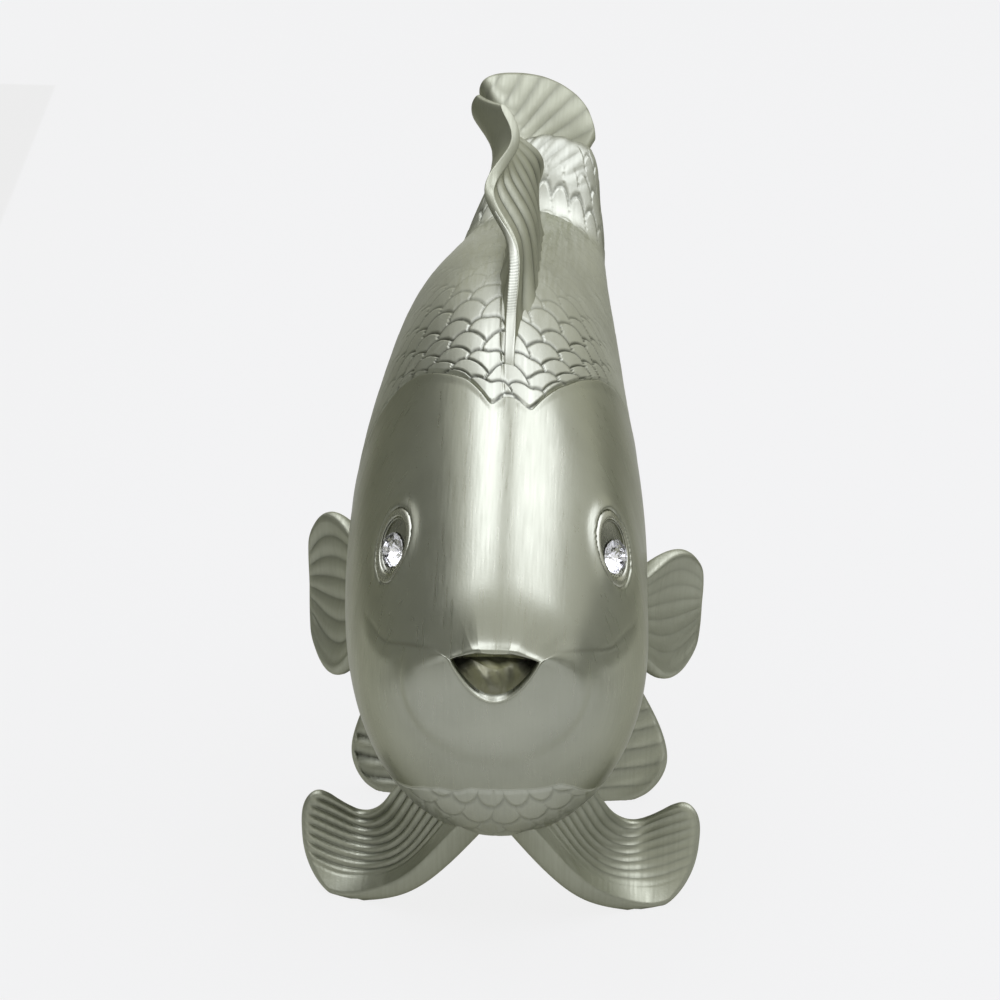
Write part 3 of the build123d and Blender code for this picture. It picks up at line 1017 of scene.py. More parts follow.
@dataclass
class Eye:
    """Oval setting with a cut stone low in it."""

    place: EyePlace
    half_width: float = 5.35
    half_height: float = 6.2
    stone_radius: float = 2.65
    floor: float = -0.30

    def world(self, x: np.ndarray, y: np.ndarray, out: np.ndarray) -> np.ndarray:
        """Points, in mm, from the eye's own across, up and outward distances."""
        middle, across, up, outward = self.place.frame()
        return middle + x[..., None] * across + y[..., None] * up + out[..., None] * outward

    def build_setting(self, finish: bpy.types.Material) -> bpy.types.Object:
        """Build the oval setting.

        Args:
            finish: Its material.

        Returns:
            The setting piece.
        """
        columns = 120
        angle = np.linspace(0, 2 * np.pi, columns, endpoint=False)
        # Outline shares and heights, from the buried foot over the rim and down to the floor
        profile = np.array([
            (1.02, -0.90), (1.01, -0.25), (0.98, 0.10), (0.94, 0.34), (0.88, 0.48), (0.81, 0.46),
            (0.76, 0.30), (0.73, 0.02), (0.715, -0.25), (0.69, -0.42), (0.64, -0.50), (0.54, -0.55),
            (0.47, -0.70), (0.455, -1.60), (0.35, -2.60), (0.02, -2.65),
        ])
        knots = np.linspace(0, 1, len(profile))
        fine = spline(np.linspace(0, 1, 72), knots, profile)
        # The rim stands higher on the side of the nose
        nose = -self.place.side.value * np.cos(angle)
        raised = 0.45 + 0.55 * smooth_step(nose, -0.7, 0.7)
        # The seat of the stone is a round hole, low in the oval
        seat = 1 - smooth_step(fine[:, :1], 0.48, 0.70)
        tall = self.half_height + (self.half_width - self.half_height) * seat
        to_nose = -self.place.side.value * self.place.to_nose
        x = fine[:, :1] * self.half_width * np.cos(angle) + to_nose * (1 - seat)
        y = fine[:, :1] * tall * np.sin(angle) - self.place.DROP[self.place.side] * seat
        above = np.where(fine[:, 1:] > 0, fine[:, 1:] * raised, fine[:, 1:])
        ease = smooth_step(fine[:, :1], 0.3, 0.9)
        height = above + self.place.skin(x, y) * ease
        points = self.world(x, y, height)
        # Painted shade down the inside of the setting, darkest near its floor
        painted_shade = 0.5 * (1 - smooth_step(fine[:, 1:], -0.7, 0.1)) + 0 * x
        setting = make_piece(
            f"{self.place.side.word}_eye_rim", points.reshape(-1, 3),
            grid_faces(len(fine), columns, wrap=True), painted_shade.ravel(),
        )
        settle(setting, "eye_setting", finish, f"{self.place.side.word}_eye_setting")
        return setting

    def facets(self) -> tuple[np.ndarray, list[tuple[int, ...]], list[tuple[int, ...]]]:
        """Form of the cut stone.

        Returns:
            Its points in mm, the faces of its crown and those of its foiled back.
        """
        # Corners, share of the radius, height in mm and turn of each level, from the table down
        levels = ((8, 0.50, 0.90, 0.0), (8, 0.80, 0.58, 0.5), (16, 1.0, 0.10, 0.0), (16, 1.0, -0.08, 0.0))
        points = []
        for count, share, height, shift in levels:
            for i in range(count):
                angle = 2 * math.pi * (i + shift) / count
                reach = self.stone_radius * share
                points.append((reach * math.cos(angle), reach * math.sin(angle), height))
        points.append((0.0, 0.0, -1.95))
        # Number of the first point of each level
        table, mid, girdle, foot, tip = 0, 8, 16, 32, 48
        crown = [tuple(range(table, table + 8))]
        back = []
        for i in range(8):
            nxt, prev = (i + 1) % 8, (i - 1) % 8
            crown.append((table + i, mid + i, table + nxt))
            crown.append((table + i, mid + prev, girdle + 2 * i, mid + i))
            crown.append((mid + i, girdle + 2 * i, girdle + 2 * i + 1))
            crown.append((mid + i, girdle + 2 * i + 1, girdle + (2 * i + 2) % 16))
        for i in range(16):
            nxt = (i + 1) % 16
            crown.append((girdle + i, foot + i, foot + nxt, girdle + nxt))
            back.append((foot + i, tip, foot + nxt))
        return np.array(points), crown, back

    def build_stone(self, crystal: bpy.types.Material, foil: bpy.types.Material) -> bpy.types.Object:
        """Build the cut stone with its foiled back.

        Args:
            crystal: Material of the crown.
            foil: Material of the back.

        Returns:
            The stone piece.
        """
        points, crown, back = self.facets()
        y = points[:, 1] - self.place.DROP[self.place.side]
        placed = self.world(points[:, 0], y, points[:, 2] + self.floor)
        faces = crown + back
        stone = make_piece(f"{self.place.side.word}_cut_stone", placed, faces, flat=True)
        settle(stone, "cut_stone", crystal, f"{self.place.side.word}_eye_stone")
        stone.data.materials.append(foil)
        for polygon in stone.data.polygons:
            polygon.material_index = 1 if polygon.index >= len(crown) else 0
        return stone


# Fins


Shape = Callable[[np.ndarray, np.ndarray], np.ndarray]
Strip = tuple[np.ndarray, np.ndarray, float, float]


@dataclass(frozen=True)
class FinSheet:
    """Thin dished sheet through strips that run from one edge of a fin to the other.

    Each strip holds its near and far points, then its thickness and dish, all in mm. Flutes give
    the height of the ribs from 0 to 1, and thin gives the share of the thickness that is left.
    """

    strips: tuple[Strip, ...]
    flutes: Shape
    flute_depth: float
    across: int = 90
    along: int = 110
    thin: Shape | None = None
    seal_start: bool = False
    rim: float = 0.05
    round_end: float = 0.0

    def middle(self, u: np.ndarray, t: np.ndarray) -> tuple[np.ndarray, np.ndarray]:
        """Middle surface and half thickness of the sheet.

        Args:
            u: Place across the strips, 0 at the near edge.
            t: Place along the fin, 0 at the first strip.

        Returns:
            Points in mm, and half thickness in mm.
        """
        near = np.array([strip[0] for strip in self.strips])
        far = np.array([strip[1] for strip in self.strips])
        sizes = np.array([(strip[2], strip[3]) for strip in self.strips])
        centres = (near + far) / 2
        steps = np.linalg.norm(np.diff(centres, axis=0), axis=1)
        knots = np.concatenate([[0], np.cumsum(steps)])
        knots = knots / knots[-1]
        before = np.concatenate([centres[:1], centres[:-1]])
        after = np.concatenate([centres[1:], centres[-1:]])
        chord = (far - near) / np.linalg.norm(far - near, axis=1, keepdims=True)
        travel = after - before
        travel = travel - chord * np.sum(chord * travel, axis=1, keepdims=True)
        travel /= np.linalg.norm(travel, axis=1, keepdims=True)
        bulge = np.cross(travel, chord) * sizes[:, 1:]
        table = np.concatenate([near, far, bulge, sizes[:, :1]], axis=1)
        read = spline(t, knots, table)
        points = read[..., 0:3] + (read[..., 3:6] - read[..., 0:3]) * u[..., None]
        points = points + read[..., 6:9] * (4 * u * (1 - u))[..., None]
        return points, read[..., 9] / 2

    def build(self) -> tuple[np.ndarray, list[tuple[int, ...]], np.ndarray]:
        """Build the closed sheet.

        Returns:
            Its points in mm, its faces, and the painted shade of its hollows from 0 to 1.
        """
        # Points lie closer together near the edges, where the sheet is rounded
        ease = (1 - np.cos(np.linspace(0, np.pi, self.across))) / 2
        late = 1 - (1 - np.linspace(0, 1, self.along)) ** 1.15
        u, t = np.meshgrid(0.4 * ease + 0.6 * np.linspace(0, 1, self.across), late)
        corner = 1 - np.sqrt(np.clip(1 - np.abs(2 * u - 1) ** 2.5, 0, 1))
        points, half = self.middle(u, t * (1 - self.round_end * corner))
        normals = np.cross(np.gradient(points, axis=1), np.gradient(points, axis=0))
        normals /= np.linalg.norm(normals, axis=-1, keepdims=True) + 1e-12
        rib = self.flutes(u, t)
        # Flutes die away towards the edges, which are rounded and unbroken
        inner = smooth_step(np.minimum(u, 1 - u), 0.0, 1.6 * self.rim) * smooth_step(1 - t, 0.0, 0.09)
        edge = np.minimum(1, np.minimum(u, 1 - u) / self.rim)
        end = np.minimum(1, (1 - t) / 0.05)
        if self.seal_start:
            end = np.minimum(end, t / 0.05)
            inner = inner * smooth_step(t, 0.0, 0.08)
        # Quarter rounds, so the edge is as thick as the sheet a short way in
        for share in (edge, end):
            half = half * (0.15 + 0.85 * np.sqrt(1 - (1 - share) ** 2))
        if self.thin is not None:
            half = half * self.thin(u, t)
        # The flutes show on both faces, deeper on the upper one
        wave = self.flute_depth * (rib - 1) * inner
        upper = points + normals * (half + 0.75 * wave)[..., None]
        lower = points + normals * (0.25 * wave - half)[..., None]
        ring = np.concatenate([upper, lower[:, ::-1]], axis=1)
        # Painted shade in the hollows between the flutes, half as strong on the lower face
        deep = (1 - rib) ** 2 * inner
        hollow = np.concatenate([deep, 0.5 * deep[:, ::-1]], axis=1)
        rows, columns = ring.shape[:2]
        faces = grid_faces(rows, columns, wrap=True)
        for row in (0, rows - 1):
            for j in range(self.across - 1):
                a, b = row * columns + j, row * columns + j + 1
                c, d = row * columns + columns - 2 - j, row * columns + columns - 1 - j
                faces.append((a, b, c, d) if row else (d, c, b, a))
        return ring.reshape(-1, 3), faces, np.clip(hollow, 0, 1).ravel()


def ribs(phase: np.ndarray, breadth: float = 0.45) -> np.ndarray:
    """Broad ribs with narrow hollows between, one rib for each whole step of phase."""
    return (0.5 + 0.5 * np.cos(2 * np.pi * phase)) ** breadth


@dataclass(frozen=True)
class FinShape:
    """Sizes of a kind of paired fin.

    Its overhang past the body, height, level above the floor, thickness and flute depth are in
    mm. The far end is rounded over a share of the length, and shade is how dark the painted shade in the
    hollows is.
    Each strip holds the near and far points, x as a share of the fin's reach, y of the body's
    length and z of the fin's height, then the thickness and dish shares.
    """

    word: str
    overhang: float
    height: float
    level: float
    thickness: float
    flute_depth: float
    round_end: float
    shade: float
    strips: tuple[tuple[tuple[float, ...], tuple[float, ...], float, float], ...]


class FinKind(Enum):
    """The kinds of paired fins."""

    PECTORAL = FinShape(
        "pectoral", 9.0, 24.0, 37.044, 3.2, 0.35, 0.10, 0.35,
        (((0.45, 0.560, -0.14), (0.45, 0.578, 0.24), 1.25, 0.00),
         ((0.64, 0.584, -0.26), (0.64, 0.600, 0.34), 1.10, -0.30),
         ((0.78, 0.618, -0.50), (0.80, 0.640, 0.46), 0.80, -0.60),
         ((0.91, 0.662, -0.47), (0.93, 0.676, 0.38), 0.60, -0.60),
         ((0.99, 0.698, -0.26), (1.00, 0.702, 0.16), 0.45, -0.30)),
    )
    PELVIC = FinShape(
        "pelvic", 6.5, 17.5, -0.5, 3.2, 0.55, 0.17, 0.60,
        (((0.08, 0.188, 1.14), (0.39, 0.322, 1.30), 1.60, 0.00),
         ((0.20, 0.203, 0.86), (0.52, 0.332, 1.02), 1.40, -0.30),
         ((0.34, 0.219, 0.55), (0.60, 0.348, 0.83), 1.15, -0.55),
         ((0.50, 0.243, 0.27), (0.69, 0.362, 0.71), 1.00, -0.65),
         ((0.66, 0.272, 0.09), (0.79, 0.366, 0.73), 0.85, -0.65),
         ((0.82, 0.293, 0.01), (0.90, 0.360, 0.87), 0.70, -0.50),
         ((1.03, 0.316, 0.14), (1.07, 0.350, 1.00), 0.50, -0.30)),
    )
    ANAL = FinShape(
        "anal", 3.2, 20.5, -0.5, 3.2, 0.85, 0.05, 0.85,
        (((0.07, 0.590, 1.60), (0.40, 0.680, 2.00), 1.50, 0.00),
         ((0.22, 0.605, 1.15), (0.67, 0.716, 1.30), 1.20, -0.30),
         ((0.32, 0.612, 0.75), (0.87, 0.719, 0.81), 1.00, -0.56),
         ((0.42, 0.625, 0.40), (0.99, 0.698, 0.46), 0.85, -0.62),
         ((0.51, 0.638, 0.13), (0.96, 0.672, 0.18), 0.70, -0.44),
         ((0.59, 0.646, 0.01), (0.83, 0.653, 0.00), 0.60, -0.20)),
    )


@dataclass
class PairedFin:
    """One of the six fins that stand out from the sides."""

    kind: FinKind
    side: Side

    def strips(self) -> tuple[Strip, ...]:
        """Strips of the fin.

        Returns:
            The strips in mm.
        """
        shape = self.kind.value
        overhang, height, level = shape.overhang, shape.height, shape.level
        if self.kind is FinKind.PECTORAL and self.side is Side.RIGHT:
            # Cast a little larger than its fellow, and set higher
            overhang, height, level = overhang + 2.6, height * 1.2, level + 1.2
        elif self.kind is FinKind.PECTORAL:
            height, level = height * 0.94, level - 0.7
        reach = BODY_WIDTH / 2 + overhang
        knots, rows = BodyForm().knots()
        made = []
        for near, far, thick, dish in shape.strips:
            ends = []
            for x, y, z in (near, far):
                bend = np.interp(y * BODY_LENGTH, knots, rows[:, 4])
                ends.append(np.array([
                    self.side.value * x * reach + (1 - x) * bend, y * BODY_LENGTH, level + z * height
                ]))
            dish = self.side.value * dish * shape.thickness
            made.append((ends[0], ends[1], thick * shape.thickness, dish))
        return tuple(made)

    def flutes(self, u: np.ndarray, t: np.ndarray) -> np.ndarray:
        """Ribs of this kind of fin.

        Args:
            u: Place across the strips.
            t: Place along the fin.

        Returns:
            Height of the ribs from 0 to 1.
        """
        if self.kind is FinKind.ANAL:
            return ribs(12.5 * t - 0.5 * u**2, 0.42)
        # Number of ribs, and share of the width that the plain leading band takes
        count, band = (8, 0.21) if self.kind is FinKind.PELVIC else (7, 0.06)
        share = (u - band) / (1 - band)
        fade = smooth_step(u, band - 0.02, band + 0.05)
        return ribs(count * share + 0.5) * fade + (1 - fade)

    def build(self, finish: bpy.types.Material) -> bpy.types.Object:
        """Build the fin.

        Args:
            finish: Its material.

        Returns:
            The fin piece.
        """
        shape = self.kind.value
        sheet = FinSheet(
            self.strips(), self.flutes, shape.flute_depth, across=150, along=150,
            round_end=shape.round_end,
        )
        points, faces, hollow = sheet.build()
        points[:, 2] = np.maximum(points[:, 2], 0.0)
        name = f"{self.side.word}_{shape.word}"
        # Painted shade in the hollows between the flutes
        fin = make_piece(f"{name}_fluted_fin", points, faces, shape.shade * hollow)
        settle(fin, "cast_fins", finish, f"{name}_fin")
        return fin


@dataclass
class DorsalFin:
    """Fin along the back, with a ribbed front edge and a top that curls to one side."""

    rise: float = 24.0
    sway: float = 8.5
    thickness: float = 9.0
    edge_width: float = 1.6
    flute_depth: float = 0.55
    # Rise, front and rear places along the body, their sways, dish and thickness shares
    slices: tuple[tuple[float, ...], ...] = (
        (-0.45, 0.300, 0.855, 0.00, 0.10, 0.00, 1.60),
        (-0.22, 0.328, 0.855, 0.00, 0.00, 0.00, 1.05),
        (0.03, 0.445, 0.860, -0.02, 0.00, -0.10, 0.58),
        (0.27, 0.520, 0.850, -0.16, 0.10, -0.10, 0.36),
        (0.50, 0.590, 0.820, -0.58, 0.14, 0.05, 0.30),
        (0.76, 0.640, 0.780, -0.12, -0.80, 0.10, 0.26),
        (0.99, 0.675, 0.735, -0.40, -0.90, 0.05, 0.18),
    )

    def strips(self) -> tuple[Strip, ...]:
        """Level slices of the fin.

        Returns:
            The slices as strips in mm.
        """
        made = []
        for rise, front, rear, front_sway, rear_sway, dish, thick in self.slices:
            level = BACK_HEIGHT + rise * self.rise
            near = np.array([front_sway * self.sway, front * BODY_LENGTH, level])
            far = np.array([rear_sway * self.sway, rear * BODY_LENGTH, level])
            made.append((near, far, thick * self.thickness, dish * self.sway))
        return tuple(made)

    def flutes(self, u: np.ndarray, t: np.ndarray) -> np.ndarray:
        """Upright ribs behind the front edge, fewer and softer near the curled top.

        Args:
            u: Place from the front edge to the rear one.
            t: Place up the fin.

        Returns:
            Height of the ribs from 0 to 1.
        """
        fade = smooth_step(u, 0.05, 0.12) * (1 - 0.9 * smooth_step(t, 0.64, 0.80))
        fade = fade * (0.4 + 0.6 * smooth_step(t + 0.25 * (1 - u), 0.30, 0.55))
        return ribs(7.5 * u + 0.35 + 0.25 * np.sin(3.2 * t), 0.5) * fade + (1 - fade)

    def thin(self, u: np.ndarray, t: np.ndarray) -> np.ndarray:
        """Share of the thickness: a narrow ribbon in front, opening to a skirt at the foot.

        Args:
            u: Place from the front edge to the rear one.
            t: Place up the fin.

        Returns:
            Shares of the thickness.
        """
        table = np.array([strip[2] for strip in self.strips()])
        full = np.interp(t, np.linspace(0, 1, len(table)), table)
        narrow = np.clip(self.edge_width / full, 0.1, 1.0)
        opening = 0.28 + 0.12 * smooth_step(t, 0.3, 0.6)
        return narrow + (1 - narrow) * smooth_step(u / opening, 0.1, 1.0)

    def build(self, finish: bpy.types.Material) -> bpy.types.Object:
        """Build the fin.

        Args:
            finish: Its material.

        Returns:
            The fin piece.
        """
        sheet = FinSheet(
            self.strips(), self.flutes, self.flute_depth, across=210, along=210, thin=self.thin, rim=0.012
        )
        points, faces, hollow = sheet.build()
        # Painted shade in the hollows between the flutes
        fin = make_piece("fluted_dorsal_fin", points, faces, 0.7 * hollow)
        settle(fin, "cast_fins", finish, "dorsal_fin")
        return fin

    def build_edge(self, finish: bpy.types.Material) -> bpy.types.Object:
        """Build the ribbed ribbon along the front edge.

        Args:
            finish: Its material.

        Returns:
            The ribbon piece.
        """
        sheet = FinSheet(self.strips(), self.flutes, 0.0)
        rows, columns = 620, 14
        t = np.linspace(0.07, 0.62, rows)[:, None]
        angle = np.linspace(0, 2 * np.pi, columns, endpoint=False)
        spine, _ = sheet.middle(0 * t, t)
        behind, _ = sheet.middle(0 * t + 0.03, t)
        back = (behind - spine) / np.linalg.norm(behind - spine, axis=-1, keepdims=True)
        along = np.gradient(spine, axis=0)
        along /= np.linalg.norm(along, axis=-1, keepdims=True)
        side = np.cross(along, back)
        side /= np.linalg.norm(side, axis=-1, keepdims=True)
        taper = 1 - 0.75 * smooth_step(t, 0.45, 0.62)
        ticked = smooth_step(t, 0.24, 0.30) * (1 - smooth_step(t, 0.44, 0.50))
        # Fine cross ticks, drawn coarse enough to show
        tick = 1 - 0.08 * (0.5 + 0.5 * np.cos(2 * np.pi * 95 * t)) * ticked
        half = self.edge_width / 2 * taper
        # A flat-faced bead, square at the front
        round_x = np.sign(np.cos(angle)) * np.abs(np.cos(angle)) ** 0.6
        round_y = np.sign(np.sin(angle)) * np.abs(np.sin(angle)) ** 0.6
        offset = side * (half * round_x * tick)[..., None]
        offset = offset + back * (0.55 * half * round_y * tick - 0.1)[..., None]
        points = spine + offset
        ends = [tuple(range(columns)), tuple((rows - 1) * columns + j for j in range(columns))]
        # Painted shade in the cross ticks
        edge = make_piece(
            "ribbed_dorsal_edge", points.reshape(-1, 3), grid_faces(rows, columns, wrap=True) + ends,
            np.repeat(5 * (1 - tick), columns, axis=1).ravel(),
        )
        settle(edge, "cast_fins", finish)
        return edge


@dataclass
class Tail:
    """Scaled stalk and the fan of the tail fin."""

    width: float = 21.0
    overhang: float = TAIL_OVERHANG
    rise: float = 19.0
    thickness: float = 3.0
    flute_depth: float = 0.85
    # Step from ridge to ridge of the fan, in degrees
    ridge_step: float = 5.3
    # Root end and tip of each ray from the middle of the stalk's end, then dish and thickness
    rays: tuple[tuple[tuple[float, ...], tuple[float, ...], float, float], ...] = (
        ((-0.248, -0.090, -0.130), (-0.439, 0.432, -0.306), -0.02, 0.60),
        ((-0.257, -0.130, -0.060), (-0.559, 0.482, 0.154), -0.03, 0.75),
        ((-0.219, -0.150, -0.025), (-0.589, 0.342, 0.524), -0.04, 0.90),
        ((-0.114, -0.160, -0.005), (-0.309, 0.432, 0.545), -0.04, 1.00),
        ((0.010, -0.160, -0.005), (0.031, 0.482, 0.430), -0.04, 1.00),
        ((0.133, -0.150, -0.035), (0.261, 0.412, 0.260), -0.04, 0.95),
        ((0.250, -0.130, -0.110), (0.378, 0.222, 0.030), -0.03, 0.80),
    )

    def stalk_rows(self) -> tuple[np.ndarray, np.ndarray]:
        """Rows of the stalk, with the last two of the body before them.

        Returns:
            Places along the body, and rows of sizes, all in mm.
        """
        knots, rows = BodyForm().knots()
        table = np.array(STALK_ROWS)
        scales = np.array([BACK_HEIGHT] * 3 + [BODY_WIDTH] * 2)
        places = BODY_LENGTH + table[:, 0] * STALK_LENGTH
        return np.concatenate([knots[-2:], places]), np.concatenate([rows[-2:], table[:, 1:] * scales])

    def build_stalk(self, finish: bpy.types.Material) -> bpy.types.Object:
        """Build the stalk with its long scales.

        Args:
            finish: Its material.

        Returns:
            The stalk piece.
        """
        rows, columns = 110, 320
        knots, sizes = self.stalk_rows()
        turn = np.linspace(-2, 2, columns + 1)[:-1]
        turn = np.where(np.abs(turn) < 1e-9, 1e-9, turn)
        back = np.linspace(BODY_LENGTH - 0.3, knots[-1], rows)[:, None] + 0 * turn
        across_up = BodyForm().section(spline(back, knots, sizes), turn + 0 * back)
        points = np.stack([across_up[..., 0], back, across_up[..., 1]], -1)
        normals = outward_normals(points, wrap=True)
        pattern = ScalePattern()
        height, hollow = pattern.relief(5.6 * turn + 0 * back, (back - BODY_LENGTH) / 7.2)
        crisp = 0.25 + 0.75 * (1 - smooth_step(np.abs(turn), 0.5, 0.9)) + 0 * back
        crisp = crisp * smooth_step(knots[-1] - back, 0.0, 1.5)
        # Scales begin as low as those of the shells, and painted shade darkens the stalk towards the fan
        behind = smooth_step(back - BODY_LENGTH, 0.0, 5.0)
        crisp = crisp * (0.2 + 0.8 * behind)
        to_fan = smooth_step(back + 2.5 * np.cos(np.pi * turn / 2), knots[-1] - 8.5, knots[-1] - 4.5)
        to_fan = to_fan * (1 - smooth_step(np.abs(turn), 0.35, 0.7))
        crisp, ray = crisp * (1 - to_fan), self.ray_height(points)
        points = points + normals * ((0.42 * height - 0.2) * crisp + 0.2 * (ray - 1) * to_fan)[..., None]
        hollow = hollow * (1 - to_fan) + 0.4 * (1 - ray) ** 2 * to_fan
        crisp = np.maximum(crisp, to_fan)
        centre = points[-1].mean(axis=0)
        closed = np.concatenate([points.reshape(-1, 3), centre[None]])
        faces = grid_faces(rows, columns, wrap=True)
        base = (rows - 1) * columns
        faces += [(base + j, base + (j + 1) % columns, len(closed) - 1) for j in range(columns)]
        # Painted shade: darker towards the fan, and in the crevices of the scales and between the ridges
        stalk_shade = 0.16 * behind
        painted_shade = np.concatenate([(stalk_shade + (0.55 - stalk_shade) * hollow * crisp).ravel(), [0.0]])
        stalk = make_piece("scaled_tail_stalk", closed, faces, painted_shade)
        settle(stalk, "scaled_skin", finish, "tail_stalk")
        return stalk

    def strips(self) -> tuple[Strip, ...]:
        """Rays of the fan.

        Returns:
            The rays as strips in mm.
        """
        _, _, _, level, _, bend = STALK_ROWS[-1]
        centre = np.array([bend * BODY_WIDTH, BODY_LENGTH + STALK_LENGTH, level * BACK_HEIGHT])
        scale = np.array([self.width, self.overhang, self.rise])
        return tuple(
            (centre + np.array(root) * scale, centre + np.array(tip) * scale,
             thick * self.thickness, dish * self.width)
            for root, tip, dish, thick in self.rays
        )

    def flutes(self, u: np.ndarray, t: np.ndarray) -> np.ndarray:
        """Ridges of the fan at places u along the rays and t from ray to ray."""
        return self.ray_height(FinSheet(self.strips(), self.flutes, 0.0).middle(u, t)[0])

    def ray_height(self, points: np.ndarray) -> np.ndarray:
        """Ridges that lean to the fish's left, as if from a point low on its right.

        Args:
            points: Points of the fan or of the end of the stalk, in mm.

        Returns:
            Height of the ridges from 0 to 1.
        """
        across = points[..., 0] - 3.4
        rise = 0.93 * (points[..., 2] - 102.4) + 0.36 * (points[..., 1] - 131.0)
        return ribs(np.degrees(np.arctan2(rise + 20.0, across + 18.0)) / self.ridge_step, 0.5)

    def build_fan(self, finish: bpy.types.Material) -> bpy.types.Object:
        """Build the fan.

        Args:
            finish: Its material.

        Returns:
            The fan piece.
        """
        sheet = FinSheet(
            self.strips(), self.flutes, self.flute_depth, across=140, along=230, seal_start=True, rim=0.06
        )
        points, faces, hollow = sheet.build()
        # Painted shade in the hollows between the ridges
        fan = make_piece("fluted_tail_fan", points, faces, 0.6 * hollow)
        settle(fan, "cast_fins", finish, "tail_fin")
        return fan


# Studio


@dataclass
class Studio:
    """Pale floor, soft overhead boxes and the camera.

    Lengths are in metres, angles in degrees and the lens in mm.
    """

    distance: float = 0.480
    elevation: float = 21.0
    yaw: float = 2.0
    roll: float = 1.2
    lens: float = 113.2
    shift: float = 0.12
    target: tuple[float, float, float] = (0.0, -0.0575, 0.0545)
    pale: str = "f3f3f3"
    board: str = "e9e9e9"
    room_tone: str = "f4f5f6"
    room_light: float = 0.3
    lamp_tone: tuple[float, float, float] = (0.80, 0.815, 1.0)
    # Share of the plain pale tone in the board, for the eye and then besides for the metal
    plain_to_eye: float = 0.44
    plain_to_all: float = 0.5
    half_floor: float = 3.0

    def camera(self) -> None:
        """Place the camera where the photograph was taken."""
        rise, yaw, roll = [math.radians(angle) for angle in (self.elevation, self.yaw, self.roll)]
        back = Vector((
            math.sin(yaw) * math.cos(rise), -math.cos(yaw) * math.cos(rise), math.sin(rise)
        ))
        right = (-back).cross(Vector((0, 0, 1))).normalized()
        up = right.cross(-back)
        turned = math.cos(roll) * right + math.sin(roll) * up
        up = -math.sin(roll) * right + math.cos(roll) * up
        data = bpy.data.cameras.new("camera")
        data.lens = self.lens
        data.sensor_width = 36.0
        data.shift_y = self.shift
        data.clip_start = 0.01
        camera = bpy.data.objects.new("camera", data)
        camera.matrix_world = Matrix.Translation(
            Vector(self.target) + back * self.distance
        ) @ Matrix((turned, up, back)).transposed().to_4x4()
        bpy.context.scene.collection.objects.link(camera)
        bpy.context.scene.camera = camera

    def box_lamp(
        self, name: str, middle: tuple[float, float, float], aim: tuple[float, float, float],
        size: tuple[float, float], radiance: float,
    ) -> None:
        """Hang a soft box.

        Args:
            name: Name of the lamp.
            middle: Its middle, in metres.
            aim: Point that it faces.
            size: Its sides, in metres.
            radiance: Brightness of its face, where 1 is white.
        """
        data = bpy.data.lights.new(name, "AREA")
        data.shape = "RECTANGLE"
        data.size, data.size_y = size
        data.energy = radiance * math.pi * size[0] * size[1]
        data.color = self.lamp_tone
        lamp = bpy.data.objects.new(name, data)
        turned = (Vector(aim) - Vector(middle)).to_track_quat("-Z", "Y").to_matrix()
        lamp.matrix_world = Matrix.Translation(middle) @ turned.to_4x4()
        bpy.context.scene.collection.objects.link(lamp)

    def seen_rays(self, tree: bpy.types.NodeTree) -> bpy.types.NodeSocket:
        """Tell what the eye, the metal and the glass see from what lights the room.

        Args:
            tree: Node tree to add to.

        Returns:
            A socket that is 1 for camera, glossy and transmission rays.
        """
        path = add_node(tree, "ShaderNodeLightPath")
        eye_or_metal = add_node(
            tree, "ShaderNodeMath", {"operation": "MAXIMUM"},
            {0: path.outputs["Is Camera Ray"], 1: path.outputs["Is Glossy Ray"]},
        )
        seen = add_node(
            tree, "ShaderNodeMath", {"operation": "MAXIMUM"},
            {0: eye_or_metal.outputs[0], 1: path.outputs["Is Transmission Ray"]},
        )
        return seen.outputs[0]

    def world(self) -> None:
        """Light the room softly, with the pale backdrop in what the eye and the metal see."""
        world = bpy.data.worlds.new("studio")
        bpy.context.scene.world = world
        world.use_nodes = True
        tree = world.node_tree
        tree.nodes.clear()
        room = add_node(
            tree, "ShaderNodeBackground", {"Color": linear(self.room_tone), "Strength": self.room_light}
        )
        pale = add_node(tree, "ShaderNodeBackground", {"Color": linear(self.pale), "Strength": 1.0})
        mix = add_node(
            tree, "ShaderNodeMixShader",
            links={0: self.seen_rays(tree), 1: room.outputs[0], 2: pale.outputs[0]},
        )
        add_node(tree, "ShaderNodeOutputWorld", links={0: mix.outputs[0]})

    def floor(self) -> bpy.types.Object:
        """Lay the pale floor.

        Returns:
            The floor, a wide sheet of painted board.
        """
        made = bpy.data.materials.new("matt_painted_board")
        made.use_nodes = True
        tree = made.node_tree
        tree.nodes.clear()
        matt = add_node(tree, "ShaderNodeBsdfDiffuse", {"Color": linear(self.board)})
        pale = add_node(tree, "ShaderNodeEmission", {"Color": linear(self.pale), "Strength": 1.0})
        path = add_node(tree, "ShaderNodeLightPath")
        # The rest is the board's own light, which keeps the shadow
        in_metal = add_node(
            tree, "ShaderNodeMath", {"operation": "MULTIPLY", 1: self.plain_to_all},
            {0: self.seen_rays(tree)},
        )
        mostly = add_node(
            tree, "ShaderNodeMath", {"operation": "MULTIPLY_ADD", 1: self.plain_to_eye},
            {0: path.outputs["Is Camera Ray"], 2: in_metal.outputs[0]},
        )
        mix = add_node(
            tree, "ShaderNodeMixShader",
            links={0: mostly.outputs[0], 1: matt.outputs[0], 2: pale.outputs[0]},
        )
        add_node(tree, "ShaderNodeOutputMaterial", links={"Surface": mix.outputs[0]})
        mesh = bpy.data.meshes.new("floor")
        half = self.half_floor
        corners = [(-half, -half, 0), (half, -half, 0), (half, half, 0), (-half, half, 0)]
        mesh.from_pydata(corners, [], [(0, 1, 2, 3)])
        mesh.materials.append(made)
        floor = bpy.data.objects.new("floor", mesh)
        bpy.context.scene.collection.objects.link(floor)
        return floor

